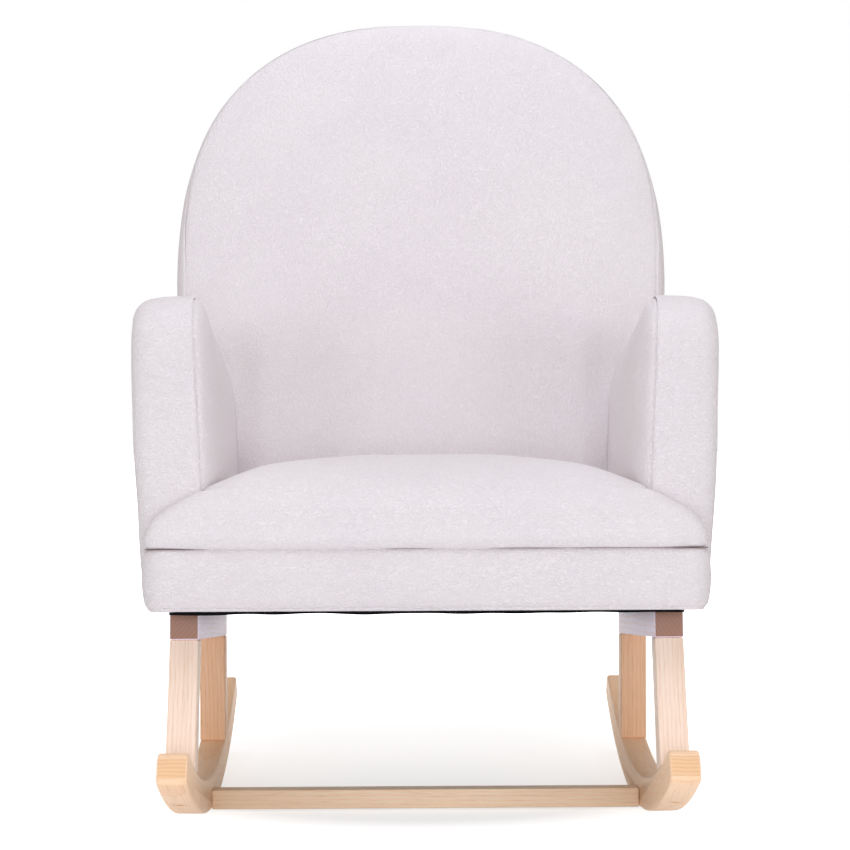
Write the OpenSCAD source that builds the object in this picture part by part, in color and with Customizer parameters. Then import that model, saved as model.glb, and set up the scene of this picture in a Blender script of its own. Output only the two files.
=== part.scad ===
// Upholstered rocking chair: two curved rails, four legs and two bearers carry a padded tub seat.
// Millimetres. +Z is up, the chair faces -Y, and left is -X as seen from the front.
// The origin is on the floor, under the middle of the chair's outline.

/* [Rockers] */
// Radius of the underside of the rocker rails
rocker_radius = 765; // [700:5:900]
// Width of a rail, and of the legs and bearers that stand on it
rail_width = 33; // [28:1:36]
// Depth of a rail, square to its curve
rail_depth = 38; // [34:1:44]
// Distance between the inner faces of the two rails
rail_gap = 514; // [500:1:520]
// Reach of the rails in front of the line where they touch the floor
rail_front_reach = 358; // [340:1:376]
// Reach of the rails behind that line
rail_rear_reach = 342; // [330:1:362]
// Length cut off each upper corner of a rail's end
rail_nose_cut = 14; // [8:1:18]
// Radius of the round that replaces that corner
rail_nose_radius = 18; // [16:1:24]

/* [Legs and bearers] */
// Thickness of the front legs, from front to back
front_leg_depth = 32; // [26:1:38]
// Lean of the front legs, whose feet stand forward
front_leg_lean = 20; // [12:1:24]
// Thickness of the rear legs, from front to back
rear_leg_depth = 32; // [26:1:38]
// Height of the bearers that join the leg tops
bearer_height = 30; // [26:1:36]
// Length of the bearers
bearer_length = 390; // [380:1:400]
// Distance from the floor line to the bearers' front end
bearer_front = 218; // [200:1:228]
// Height of the bearers' underside at the front end
bearer_lift = 225; // [215:1:240]
// Backward tilt of the bearers and of the whole seat
seat_tilt = 6; // [4:0.5:8]

/* [Crossbar] */
// Thickness of the crossbar, from front to back
crossbar_depth = 22; // [18:1:26]
// Height of the crossbar
crossbar_height = 23; // [20:1:28]
// Distance from the floor line forward to the crossbar's middle
crossbar_forward = 55; // [40:1:70]
// Clearance from the floor to the crossbar
crossbar_lift = 2.5; // [2:0.5:8]

/* [Fasteners] */
// Diameter of the dowels in the legs
leg_dowel_dia = 8; // [6:1:8]
// Length of the dowels in the legs
leg_dowel_length = 30; // [24:2:34]
// Distance between the two dowels of a leg joint
leg_dowel_spacing = 19; // [17:1:20]
// Diameter of the dowels in the crossbar
bar_dowel_dia = 6; // [5:1:8]
// Length of the dowels in the crossbar
bar_dowel_length = 36; // [30:2:40]
// Distance between the two dowels at a crossbar end
bar_dowel_spacing = 11; // [10:0.5:12]
// Diameter of the screw holes in the underside of the rails
screw_hole_dia = 9; // [8:0.5:11]
// Depth of those screw holes
screw_hole_depth = 12; // [8:1:16]
// Diameter of the leg and frame screws
screw_dia = 5; // [4:0.5:5.5]
// Diameter of the screw heads
screw_head_dia = 8; // [7:0.5:8]
// Height of the screw heads
screw_head_height = 4; // [3:0.5:5]
// Length of the leg screws under their heads
leg_screw_length = 60; // [50:5:70]
// Length of the frame screws under their heads
frame_screw_length = 40; // [34:2:46]
// Diameter of the bolts that hold the seat to the bearers
bolt_dia = 8; // [6:1:10]
// Width of the bolt heads across their corners
bolt_head_dia = 14; // [13:0.5:16]
// Height of the bolt heads
bolt_head_height = 5; // [4:0.5:6]
// Diameter of the washers under the bolt heads
washer_dia = 18; // [17:1:22]
// Thickness of the washers
washer_thickness = 1.6; // [1:0.2:2.4]
// Distance from the bearer's front end to the front bolt
bolt_front = 70; // [60:1:90]
// Distance between the front bolt and the rear bolt
bolt_spacing = 240; // [200:1:250]
// Diameter of the tee nuts' flanges
tee_nut_dia = 22; // [20:1:24]
// Diameter of the tee nuts' barrels
tee_barrel_dia = 11; // [11:0.5:13]
// Length of the tee nuts' barrels
tee_barrel_length = 12; // [8:1:16]
// Thickness of the tee nuts' flanges
tee_flange = 1.5; // [1:0.1:2]

/* [Seat frame] */
// Distance that the seat reaches in front of the bearers
seat_overhang = 48; // [40:1:56]
// Height of the seat rails
seat_rail_height = 60; // [56:1:62]
// Thickness of the front and rear seat rails
seat_rail_thickness = 24; // [20:1:25]
// Length of the front seat rail
front_rail_length = 590; // [570:1:594]
// Distance from the seat's front to the front face of the rear seat rail
rear_rail_place = 332; // [316:1:333]
// Side of a corner block
corner_block = 52; // [40:1:64]
// Height of a corner block
corner_block_height = 40; // [30:1:50]
// Width of a webbing strap
strap_width = 56; // [40:1:64]
// Thickness of a webbing strap
strap_thickness = 2; // [1:0.5:2.5]
// Number of straps from front to rear
straps_lengthwise = 5; // [3:1:6]
// Number of straps from side to side
straps_crosswise = 4; // [3:1:4]
// Thickness of the dust cover
dust_thickness = 1.2; // [0.8:0.2:2]
// Margin from the sides of the chair to the dust cover's edge
dust_margin = 12; // [8:1:16]

/* [Upholstery] */
// Thickness of the fabric
fabric = 2; // [1.5:0.1:3]
// Clearance between soft pieces
soft_gap = 0.3; // [0.2:0.1:0.6]
// Clearance between wooden pieces
wood_gap = 0.2; // [0.1:0.1:0.4]
// Half of the seat cushion's width, in front of the arms
seat_half_width = 320; // [312:1:324]
// Distance that the seat cushion swells over the apron
seat_swell = 7; // [4:1:10]
// Height of the seam between apron and cushion, from the bearers
seam_height = 71; // [70:1:76]
// Rise of the cushion's crown above its widest part
crown_rise = 101; // [90:1:112]
// Height from the seam to the cushion's widest part
rim_rise = 8; // [5:1:12]
// Distance from the cushion's front to the start of its level crown
crown_run = 197; // [170:1:220]
// Half of the apron's width at its seam
apron_half_width = 318; // [310:1:320]
// Rounding of the apron's upright corners
apron_corner = 28; // [20:1:34]

/* [Arms] */
// Half of the seat's width between the arms, at the bearers
arm_inner = 246; // [242:1:250]
// Thickness of an arm
arm_thickness = 72; // [66:1:76]
// Outward lean of the arms
arm_lean = 3.2; // [2:0.2:4]
// Distance from the seat's front to the arms' front
arm_front = 38; // [38:1:46]
// Height of an arm at its front
arm_height = 377; // [350:1:400]
// Fall of the arm's top towards the back
arm_fall = 7.2; // [4:0.2:9]
// Rounding of the arm's upper front corner
arm_round = 62; // [48:1:80]
// Swell of the padding on the arm's inner side
arm_swell = 17; // [10:1:20]
// Thickness of the arm's plywood panel
panel_thickness = 18; // [15:1:18]
// Distance from the arm's inner face to its panel
panel_place = 44.5; // [44.3:0.1:46]
// Padding over the front and top edges of the panel
panel_padding = 24; // [23:1:32]
// Height at which the arm's inner cover is tucked in beside the cushion
tuck_height = 148; // [140:1:152]

/* [Back] */
// Distance from the seat's front to the foot of the back
back_foot = 361; // [358:1:372]
// Lean of the back against the seat
back_rake = 8; // [6:0.5:10]
// Length of the back from foot to top
back_length = 812; // [780:1:850]
// Height along the back at which its arch begins
back_spring = 450; // [430:5:480]
// Half of the back's width at the arch
back_half_width = 327; // [322:1:334]
// Half of the back's width at its foot
back_foot_half_width = 316; // [312:1:320]
// Thickness of the back at its edge
back_thickness = 80; // [76:1:92]
// Swell of the padding on the back's front
back_swell = 14; // [10:1:20]
// Distance from the back's outline to the seam of its front cover
back_seam = 14; // [12:1:18]
// Depth from the seam to the back's webbing
back_pad = 10; // [9:1:16]
// Padding over the back frame's edges
back_edge_pad = 9; // [7:1:11]
// Width of the back posts
post_width = 28; // [26:1:32]
// Width of the arch
arch_width = 34; // [30:1:48]
// Thickness of the arch
arch_thickness = 12; // [9:1:18]
// Thickness of the cross rails in the back
back_rail_thickness = 18; // [15:1:24]
// Height of the lumbar rail
lumbar_height = 50; // [40:1:60]
// Height along the back of the lumbar rail's lower edge
lumbar_place = 232; // [220:1:260]
// Number of straps across the back
back_straps = 5; // [4:1:6]
// Thickness of the stiffening board behind the frame
stiffener_thickness = 2; // [1.5:0.1:3]

/* [Hidden] */

left = -1;
right = 1;
far = 2000;
rocker_steps = 256;
$fn = 48;
wood = "#e8c9a6";
end_grain = "#b08a6c";
steel = "#9a9da1";
cloth = "#e3dce1";
lining = "#26212a";
foam = "#efe6c8";
strap = "#b9b2a4";
board = "#c9ab7c";

// Middle of each rail, leg and bearer, and the rails' upper surface
rail_middle = (rail_gap + rail_width) / 2;
top_radius = rocker_radius - rail_depth;
front_angle = asin(rail_front_reach / rocker_radius);
rear_angle = asin(rail_rear_reach / rocker_radius);

// Height of the bearers' underside at a distance from the floor line, to the rear
function underside(y) = bearer_lift - (y + bearer_front) * tan(seat_tilt);
// Height of the rails' upper surface at a distance from the floor line
function rail_top(y) = rocker_radius - sqrt(pow(top_radius, 2) - pow(y, 2));

// Places of the legs
front_leg_top = -bearer_front + front_leg_depth / cos(front_leg_lean + seat_tilt) / 2;
rear_leg_middle = -bearer_front + bearer_length * cos(seat_tilt) - rear_leg_depth / 2;
// Where the front leg's middle line meets the rail, found by closer and closer steps
function leg_foot(y, steps) = steps == 0 ? y : leg_foot(
    front_leg_top - (underside(front_leg_top) - rail_top(y)) * tan(front_leg_lean),
    steps - 1
);
foot_steps = 6;
front_leg_foot = leg_foot(front_leg_top, foot_steps);

// Distances inside the upholstery
skin = fabric + soft_gap;
frame_floor = dust_thickness;
rail_top_height = frame_floor + seat_rail_height;
web_top = rail_top_height + 2 * strap_thickness + soft_gap;
back_front = fabric + soft_gap + back_pad;
post_front = back_front + strap_thickness + 2 * soft_gap;
post_rear = back_thickness - fabric - stiffener_thickness - 2 * soft_gap;
back_low = (rail_top_height + soft_gap + post_front * sin(back_rake)) / cos(back_rake);

// How much the rounding of the back's rear edge draws in its highest point
rear_rounding = 2.2;

// The chair's reach to front and rear of the floor line, which sets the origin
whole_lean = seat_tilt + back_rake;
back_foot_run = back_foot - seat_overhang;
rear_reach = -bearer_front + bearer_height * sin(seat_tilt) + back_foot_run * cos(seat_tilt)
    + back_length * sin(whole_lean) + back_thickness * cos(whole_lean) - rear_rounding;
origin_shift = (rail_front_reach - rear_reach) / 2;

// Frames that the pieces are drawn in

module on_floor() {
    translate([0, origin_shift, 0]) children();
}

// The bearers' frame, from the middle of their front ends' lower edges
module on_bearers() {
    on_floor() translate([0, -bearer_front, bearer_lift]) rotate([-seat_tilt, 0, 0]) children();
}

// The seat's frame, from the middle of its lower front edge
module in_seat() {
    on_bearers() translate([0, -seat_overhang, bearer_height]) children();
}

// An arm's frame: X outward from its inner face, Y back from the seat's front, Z up
module in_arm(side) {
    in_seat() mirror([side < 0 ? 1 : 0, 0, 0]) translate([arm_inner, 0, 0])
        rotate([0, arm_lean, 0]) children();
}

// The back's frame: Y back from the seam of its front cover, Z up along the back
module in_back() {
    in_seat() translate([0, back_foot, 0]) rotate([-back_rake, 0, 0]) children();
}

// Tools that the pieces share

// A flat shape in the side view, drawn in [y, z], as a board of a given thickness around x
module side_board(x, thickness) {
    translate([x - thickness / 2, 0, 0]) rotate([90, 0, 90]) linear_extrude(thickness) children();
}

// A closed solid through rings of equal counts of points, with a flat cap on the first and the last
module loft(rings) {
    count = len(rings[0]);
    last = len(rings) - 1;
    polyhedron(
        points = [for (ring = rings) each ring],
        faces = concat(ring_faces(count, last), [
            [for (i = [0:count - 1]) i],
            [for (i = [count - 1:-1:0]) last * count + i]
        ])
    );
}

// The same for rings that bulge all round, whose caps are fans about their middles
module loft_fan(rings) {
    count = len(rings[0]);
    last = len(rings) - 1;
    hubs = [for (ring = [rings[0], rings[last]]) ring_middle(ring)];
    polyhedron(
        points = concat([for (ring = rings) each ring], hubs),
        faces = concat(
            ring_faces(count, last),
            [for (i = [0:count - 1]) [(last + 1) * count, i, (i + 1) % count]],
            [for (i = [0:count - 1])
                [(last + 1) * count + 1, last * count + (i + 1) % count, last * count + i]]
        )
    );
}

// The same for rings round a bent sheet: the points along its outer side, then those along its
// inner side the other way, so that each cap is a strip between the two
module loft_strip(rings) {
    count = len(rings[0]);
    last = (len(rings) - 1) * count;
    polyhedron(
        points = [for (ring = rings) each ring],
        faces = concat(
            ring_faces(count, len(rings) - 1),
            [for (i = [0:count / 2 - 2]) [i, i + 1, count - 2 - i, count - 1 - i]],
            [for (i = [0:count / 2 - 2])
                [last + count - 1 - i, last + count - 2 - i, last + i + 1, last + i]]
        )
    );
}

function ring_middle(ring) = [for (axis = [0:2]) [for (p = ring) p[axis]] * [for (p = ring) 1 / len(ring)]];

function ring_faces(count, last) = [
    for (k = [0:last - 1], i = [0:count - 1])
        let (j = (i + 1) % count, a = k * count, b = a + count)
        each [[a + i, b + i, b + j], [a + i, b + j, a + j]]
];

function signed_power(value, power) = sign(value) * pow(abs(value), power);

// Swell of padding from its rim, where the share is 1, to its middle, where it is 0
function swell(height, share) = height * pow(1 - share * share, 2);

// Shares of a rim at which the rings of a swelling panel lie, from the middle out
panel_shares = [0.25, 0.45, 0.65, 0.82, 0.93, 1];

// Rockers, legs and bearers

module rail_corner(angle) {
    corner = [sin(angle) * top_radius, rocker_radius - cos(angle) * top_radius];
    down = [sin(angle), -cos(angle)];
    along = [-cos(angle), -sin(angle)] * sign(angle);
    reach = (rail_nose_cut + sqrt(2 * pow(rail_nose_radius, 2) - pow(rail_nose_cut, 2))) / 2;
    spare = rail_nose_cut / 2;
    difference() {
        polygon([
            corner - (down + along) * spare,
            corner + down * rail_nose_cut - along * spare,
            corner + (down + along) * reach,
            corner + along * rail_nose_cut - down * spare
        ]);
        translate(corner + (down + along) * reach) circle(rail_nose_radius);
    }
}

module rail_outline() {
    difference() {
        intersection() {
            translate([0, rocker_radius]) circle(rocker_radius, $fn = rocker_steps);
            polygon([
                [0, rocker_radius],
                [-sin(front_angle), -cos(front_angle)] * far + [0, rocker_radius],
                [sin(rear_angle), -cos(rear_angle)] * far + [0, rocker_radius]
            ]);
        }
        translate([0, rocker_radius]) circle(top_radius, $fn = rocker_steps);
        rail_corner(-front_angle);
        rail_corner(rear_angle);
    }
}

// Places of the dowels and screws under the legs, at an angle along the rocker
function leg_angle(foot) = asin(foot / top_radius);
leg_angles = [leg_angle(front_leg_foot), leg_angle(rear_leg_middle)];

// The frame of a leg's foot: Z points from the rail's upper surface to the rocker's centre
module at_foot(angle) {
    translate([0, 0, rocker_radius]) rotate([angle, 0, 0]) translate([0, 0, -top_radius]) children();
}

module foot_dowels(angle, clearance) {
    at_foot(angle) for (x = [-1, 1])
        translate([x * leg_dowel_spacing / 2, 0, 0])
            cylinder(d = leg_dowel_dia + clearance, h = leg_dowel_length + clearance, center = true);
}

// Dowels between a leg and the bearer, square to the bearer
module head_dowels(along, clearance) {
    translate([0, -bearer_front, bearer_lift]) rotate([-seat_tilt, 0, 0])
        for (x = [-1, 1]) translate([x * leg_dowel_spacing / 2, along, 0])
            cylinder(d = leg_dowel_dia + clearance, h = leg_dowel_length + clearance, center = true);
}

front_head = front_leg_depth / cos(front_leg_lean + seat_tilt) / 2;
rear_head = bearer_length - rear_leg_depth / cos(seat_tilt) / 2;

module leg_screw(angle, clearance) {
    at_foot(angle) translate([0, 0, screw_hole_depth - rail_depth]) {
        translate([0, 0, -clearance])
            cylinder(d = screw_dia + clearance, h = leg_screw_length + 2 * clearance);
        translate([0, 0, -screw_head_height]) cylinder(d = screw_head_dia, h = screw_head_height);
    }
}

module screw_bore(angle) {
    at_foot(angle) {
        translate([0, 0, screw_hole_depth - 2 * rail_depth])
            cylinder(d = screw_hole_dia, h = rail_depth);
        translate([0, 0, -2 * rail_depth])
            cylinder(d = screw_dia + wood_gap, h = rail_depth + screw_hole_depth + leg_screw_length + 1);
    }
}

module bar_dowels(clearance) {
    for (side = [left, right], z = [-1, 1])
        translate([
            side * rail_gap / 2,
            -crossbar_forward,
            crossbar_lift + crossbar_height / 2 + z * bar_dowel_spacing / 2
        ])
            rotate([0, 90, 0])
                cylinder(d = bar_dowel_dia + clearance, h = bar_dowel_length + clearance, center = true);
}

module rocker_rail(side) {
    color(wood) on_floor() difference() {
        side_board(side * rail_middle, rail_width) rail_outline();
        for (angle = leg_angles) translate([side * rail_middle, 0, 0]) {
            foot_dowels(angle, wood_gap);
            screw_bore(angle);
        }
        bar_dowels(wood_gap);
    }
}

module leg_space() {
    intersection() {
        translate([0, rocker_radius]) circle(top_radius - wood_gap, $fn = rocker_steps);
        polygon([
            [-far, -far],
            [far, -far],
            [far, underside(far) - wood_gap],
            [-far, underside(-far) - wood_gap]
        ]);
    }
}

module leg_bores(side, angle, head) {
    translate([side * rail_middle, 0, 0]) {
        foot_dowels(angle, wood_gap);
        head_dowels(head, wood_gap);
        screw_bore(angle);
    }
}

module front_leg(side) {
    slant = front_leg_depth / cos(front_leg_lean) / 2;
    top = underside(front_leg_top);
    reach = top * tan(front_leg_lean);
    color(wood) on_floor() difference() {
        side_board(side * rail_middle, rail_width) intersection() {
            leg_space();
            polygon([
                [front_leg_top - slant - reach, 0],
                [front_leg_top + slant - reach, 0],
                [front_leg_top + slant + reach, 2 * top],
                [front_leg_top - slant + reach, 2 * top]
            ]);
        }
        leg_bores(side, leg_angles[0], front_head);
    }
}

module rear_leg(side) {
    color(wood) on_floor() difference() {
        side_board(side * rail_middle, rail_width) intersection() {
            leg_space();
            translate([rear_leg_middle - rear_leg_depth / 2, 0]) square([rear_leg_depth, far]);
        }
        leg_bores(side, leg_angles[1], rear_head);
    }
}

bolt_places = [bolt_front, bolt_front + bolt_spacing];
// How deep the bolt heads are sunk into the bearers
bolt_head_sink = 2;
bolt_recess = bolt_head_height + washer_thickness + bolt_head_sink;

module seat_bearer(side) {
    color(wood) difference() {
        on_bearers() difference() {
            translate([side * rail_middle - rail_width / 2, 0, 0])
                cube([rail_width, bearer_length, bearer_height]);
            for (y = bolt_places) translate([side * rail_middle, y, -1]) {
                cylinder(d = bolt_dia + wood_gap, h = bearer_height + 2);
                cylinder(d = washer_dia + wood_gap, h = bolt_recess + 1);
            }
        }
        on_floor() translate([side * rail_middle, 0, 0]) {
            head_dowels(front_head, wood_gap);
            head_dowels(rear_head, wood_gap);
        }
    }
}

module crossbar() {
    color(wood) on_floor() difference() {
        translate([-rail_gap / 2 + wood_gap, -crossbar_forward - crossbar_depth / 2, crossbar_lift])
            cube([rail_gap - 2 * wood_gap, crossbar_depth, crossbar_height]);
        bar_dowels(wood_gap);
    }
}

module crossbar_dowels() {
    color(end_grain) on_floor() bar_dowels(0);
}

module leg_dowels() {
    color(end_grain) on_floor() for (side = [left, right]) translate([side * rail_middle, 0, 0]) {
        for (angle = leg_angles) foot_dowels(angle, 0);
        head_dowels(front_head, 0);
        head_dowels(rear_head, 0);
    }
}

module leg_screws() {
    color(steel) on_floor() for (side = [left, right], angle = leg_angles)
        translate([side * rail_middle, 0, 0]) leg_screw(angle, 0);
}

// Bolts, washers and tee nuts that hold the seat to the bearers

module at_bolts() {
    on_bearers() for (side = [left, right], y = bolt_places)
        translate([side * rail_middle, y, 0]) children();
}

nut_top = bearer_height + rail_top_height;

module bearer_bolts() {
    color(steel) at_bolts() {
        translate([0, 0, bolt_recess]) cylinder(d = bolt_dia, h = nut_top - bolt_recess);
        translate([0, 0, bolt_recess - washer_thickness - bolt_head_height])
            cylinder(d = bolt_head_dia, h = bolt_head_height, $fn = 6);
        translate([0, 0, bolt_recess - washer_thickness]) cylinder(d = bolt_dia, h = washer_thickness);
    }
}

module bearer_washers() {
    color(steel) at_bolts() translate([0, 0, bolt_recess - washer_thickness]) difference() {
        cylinder(d = washer_dia, h = washer_thickness);
        translate([0, 0, -1]) cylinder(d = bolt_dia + wood_gap, h = washer_thickness + 2);
    }
}

module tee_nuts() {
    color(steel) at_bolts() translate([0, 0, nut_top]) difference() {
        union() {
            cylinder(d = tee_nut_dia, h = tee_flange);
            translate([0, 0, -tee_barrel_length]) cylinder(d = tee_barrel_dia, h = tee_barrel_length);
        }
        translate([0, 0, -tee_barrel_length - 1])
            cylinder(d = bolt_dia + wood_gap, h = tee_barrel_length + tee_flange + 2);
    }
}

// Seat frame

module seat_bolt_bores() {
    for (side = [left, right], y = bolt_places)
        translate([side * rail_middle, y + seat_overhang, -1])
            cylinder(d = bolt_dia + 4 * wood_gap, h = rail_top_height + 2);
}

module dust_cover() {
    half = arm_inner + arm_thickness - dust_margin;
    color(lining) in_seat() difference() {
        translate([-half, dust_margin, 0])
            cube([2 * half, back_foot + back_thickness - 2 * dust_margin, dust_thickness]);
        seat_bolt_bores();
    }
}

module seat_front_rail() {
    color(board) in_seat()
        translate([-front_rail_length / 2, arm_front - soft_gap - seat_rail_thickness, frame_floor])
            cube([front_rail_length, seat_rail_thickness, seat_rail_height]);
}

module seat_rear_rail() {
    half = rail_gap / 2 - wood_gap;
    color(board) in_seat() translate([-half, rear_rail_place, frame_floor])
        cube([2 * half, seat_rail_thickness, seat_rail_height]);
}

module seat_side_rail(side) {
    color(board) difference() {
        in_seat() difference() {
            translate([side * rail_middle - rail_width / 2, arm_front, frame_floor])
                cube([rail_width, back_foot + back_thickness - arm_front, seat_rail_height]);
            for (y = bolt_places) translate([side * rail_middle, y + seat_overhang, 0]) {
                cylinder(d = bolt_dia + wood_gap, h = 2 * rail_top_height);
                translate([0, 0, rail_top_height - tee_barrel_length - wood_gap])
                    cylinder(d = tee_barrel_dia + wood_gap, h = 2 * tee_barrel_length);
            }
        }
        in_back() translate([-far / 2, post_front - wood_gap, -far / 2]) cube([far, far, far]);
        in_arm(side) panel_screws(wood_gap);
    }
}

module corner_blocks() {
    low = frame_floor + (seat_rail_height - corner_block_height) / 2;
    inner = rail_gap / 2 - wood_gap;
    color(board) in_seat() for (side = [left, right]) mirror([side < 0 ? 1 : 0, 0, 0]) {
        translate([inner, arm_front, low]) linear_extrude(corner_block_height)
            polygon([[0, 0], [-corner_block, 0], [0, corner_block]]);
        translate([inner, rear_rail_place - wood_gap, low]) linear_extrude(corner_block_height)
            polygon([[0, 0], [-corner_block, 0], [0, -corner_block]]);
    }
}

module seat_webbing_lengthwise() {
    front = arm_front - seat_rail_thickness;
    length = rear_rail_place + seat_rail_thickness - front;
    pitch = (rail_gap - strap_width) / straps_lengthwise;
    color(strap) in_seat() for (i = [0:straps_lengthwise - 1])
        translate([(i - (straps_lengthwise - 1) / 2) * pitch - strap_width / 2, front, rail_top_height])
            cube([strap_width, length, strap_thickness]);
}

// Distance from the front rail to the room that the cross straps share
strap_margin = 10;

module seat_webbing_crosswise() {
    front = arm_front + strap_margin;
    pitch = (rear_rail_place - front) / straps_crosswise;
    low = rail_top_height + strap_thickness + soft_gap;
    half = arm_inner - soft_gap;
    color(strap) in_seat() for (i = [0:straps_crosswise - 1])
        translate([-half, front + (i + 0.5) * pitch - strap_width / 2, low])
            cube([2 * half, strap_width, strap_thickness]);
}

// Seat cushion

cushion_middle = crown_run - seat_swell;
cushion_end = back_foot + back_thickness;
// How far the cushion's cover is drawn in from its widest part to the seam
rim_tuck = 5;
// How square the cushion's corners are, and how full its crown is
cushion_square = 8;
crown_full = 3;
crown_steep = 0.6;
// Steps along the front of each ring of the cushion
cushion_points = 14;
// Shares of the crown's rise at which its rings lie
crown_steps = [0.03, 0.1, 0.2, 0.32, 0.45, 0.58, 0.7, 0.8, 0.88, 0.95, 0.99];

// One level ring of the cushion: an inset all round, a share of the plan and a height
function cushion_ring(inset, share, z) = let (
    half = (seat_half_width - inset) * share,
    run = (crown_run - inset) * share,
    arc = [for (i = [0:cushion_points]) let (angle = i * 180 / cushion_points) [
        -half * signed_power(cos(angle), 2 / cushion_square),
        cushion_middle - run * pow(sin(angle), 2 / cushion_square),
        z
    ]]
) concat([[-half, cushion_end - inset, z]], arc, [[half, cushion_end - inset, z]]);

// The rings from the cushion's rim to its crown, drawn in by an inset
function crown_rings(inset) = [
    for (rise = crown_steps)
        let (share = pow(1 - pow(rise, 1 / crown_steep), 1 / crown_full))
        cushion_ring(inset, share, seam_height + rim_rise + (crown_rise - inset) * rise)
];

function backwards(list) = [for (i = [len(list) - 1:-1:0]) list[i]];

// What the arms and the back leave free for the cushion
module cushion_bounds() {
    for (side = [left, right]) in_arm(side)
        translate([-seat_side_gap, arm_front - soft_gap, -far / 2]) cube([far, far, far]);
    in_back() translate([-far / 2, -seat_back_gap, -far / 2]) cube([far, far, far]);
}

// Shares of their rims at which the arms' and the back's swelling sides meet the cushion
arm_share_at_seat = 0.85;
back_share_at_seat = 0.5;
seat_side_gap = swell(arm_swell, arm_share_at_seat) + soft_gap;
seat_back_gap = swell(back_swell, back_share_at_seat) + soft_gap;

module seat_foam() {
    color(foam) difference() {
        in_seat() loft_fan(concat(
            [cushion_ring(foam_foot, 1, web_top + soft_gap)],
            [cushion_ring(foam_foot, 1, seam_height + soft_gap)],
            [cushion_ring(rim_tuck + soft_gap, 1, seam_height + 3 * soft_gap)],
            [cushion_ring(skin, 1, seam_height + rim_rise)],
            crown_rings(skin)
        ));
        cushion_bounds();
    }
}

module seat_cover() {
    color(cloth) difference() {
        in_seat() loft_fan(concat(
            backwards(crown_rings(fabric)),
            [cushion_ring(fabric, 1, seam_height + rim_rise)],
            [cushion_ring(rim_tuck - soft_gap, 1, seam_height + soft_gap)],
            [cushion_ring(rim_tuck - fabric, 1, seam_height + soft_gap)],
            [cushion_ring(0, 1, seam_height + rim_rise)],
            crown_rings(0)
        ));
        cushion_bounds();
    }
}

// Apron below the cushion

// Steps round each of the apron's upright corners
corner_points = 5;
// The apron's plan with an inset, from its left end round the front to its right end
function apron_plan(inset) = let (
    half = apron_half_width - inset,
    corner = apron_corner - inset,
    arc = [for (i = [0:corner_points]) i * 90 / corner_points]
) concat(
    [[-half, arm_front - soft_gap]],
    [for (a = arc) [-half + corner - corner * cos(a), inset + corner - corner * sin(a)]],
    [for (a = arc) [half - corner + corner * sin(a), inset + corner - corner * cos(a)]],
    [[half, arm_front - soft_gap]]
);

// The apron's section as pairs of an inset and a height, from its hem to its seam
apron_hem = 3;
apron_section = [
    [8, apron_hem], [3, apron_hem + 2], [0.5, apron_hem + 8], [-1, seam_height / 2],
    [0.5, seam_height - 8], [3, seam_height]
];

function drawn_in(section, inset) = [for (p = section) [p[0] + inset, p[1]]];

// How far the foam's foot stands in from the cushion's widest part, to clear the apron
foam_foot = apron_section[5][0] + skin + soft_gap
    + max(seat_swell, seat_half_width - apron_half_width);

module apron_cover() {
    loop = concat(apron_section, backwards(drawn_in(apron_section, fabric)));
    count = len(apron_plan(0));
    color(cloth) in_seat() loft_strip([
        for (i = [count - 1:-1:0]) [for (p = loop) let (q = apron_plan(p[0])[i]) [q[0], q[1], p[1]]]
    ]);
}

module apron_foam() {
    inside = drawn_in([for (p = apron_section) [p[0], min(p[1], web_top - soft_gap)]], skin);
    color(foam) in_seat() difference() {
        loft([for (p = inside) [for (q = apron_plan(p[0])) [q[0], q[1], p[1]]]]);
        translate([
            -front_rail_length / 2 - soft_gap, arm_front - 2 * soft_gap - seat_rail_thickness, -far / 2
        ])
            cube([front_rail_length + 2 * soft_gap, far, far]);
    }
}

// Arms

// Where the arm ends at the back, at a height, with a reach past that end for a cut
function arm_rear(z, reach) = back_foot - arm_back_gap + reach + z * tan(back_rake);
arm_back_gap = 3.3;
arm_hem = 3;
// Where the arm's lower edge lies at a distance outward, to keep a height over the bearers
function arm_low(x, height) = (height + x * sin(arm_lean)) / cos(arm_lean);

// Steps round the arm's upper front corner, and along each of its straight sides
arm_round_steps = 7;
arm_side_steps = 3;
// The arm's side view with an inset at its front and top, from its lower front corner round to
// its lower rear corner, in pairs of a distance back and a height
function arm_outline(inset, low, reach = 0) = let (
    round = arm_round - inset,
    mid_y = arm_front + arm_round,
    mid_z = arm_height - arm_round * tan(arm_fall) - arm_round / cos(arm_fall),
    slope = tan(arm_fall),
    top = mid_z + round / cos(arm_fall) + mid_y * slope,
    end_y = (arm_rear(0, reach) + tan(back_rake) * top) / (1 + tan(back_rake) * slope),
    end_z = top - end_y * slope,
    arc = [for (i = [0:arm_round_steps]) let (a = 180 - i * (90 + arm_fall) / arm_round_steps)
        [mid_y + round * cos(a), mid_z + round * sin(a)]],
    over = arc[arm_round_steps],
    steps = [for (i = [1:arm_side_steps]) i / arm_side_steps]
) concat(
    [for (i = [0:arm_side_steps - 1]) [arm_front + inset, low + (mid_z - low) * i / arm_side_steps]],
    arc,
    [for (t = steps) [over[0] + (end_y - over[0]) * t, over[1] + (end_z - over[1]) * t]],
    [for (t = steps) let (z = end_z + (low - end_z) * t) [arm_rear(z, reach), z]]
);

// The part of the outline that the band of fabric follows: front and top
arm_band_points = arm_round_steps + 1 + 2 * arm_side_steps;

// The arm's section as pairs of an inset and a distance outward, from inner seam to outer seam
arm_section = [
    [2.5, soft_gap], [0.4, 5], [0, 14], [0, arm_thickness - 28], [3, arm_thickness - 14],
    [10, arm_thickness - 6], [20, arm_thickness - 1.5]
];
arm_inner_seam = arm_section[0][0] + skin;
arm_outer_seam = arm_section[6][0] + skin;

function arm_ring(inset, x) = [for (p = arm_outline(inset, arm_low(x, arm_hem))) [x, p[0], p[1]]];

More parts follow.
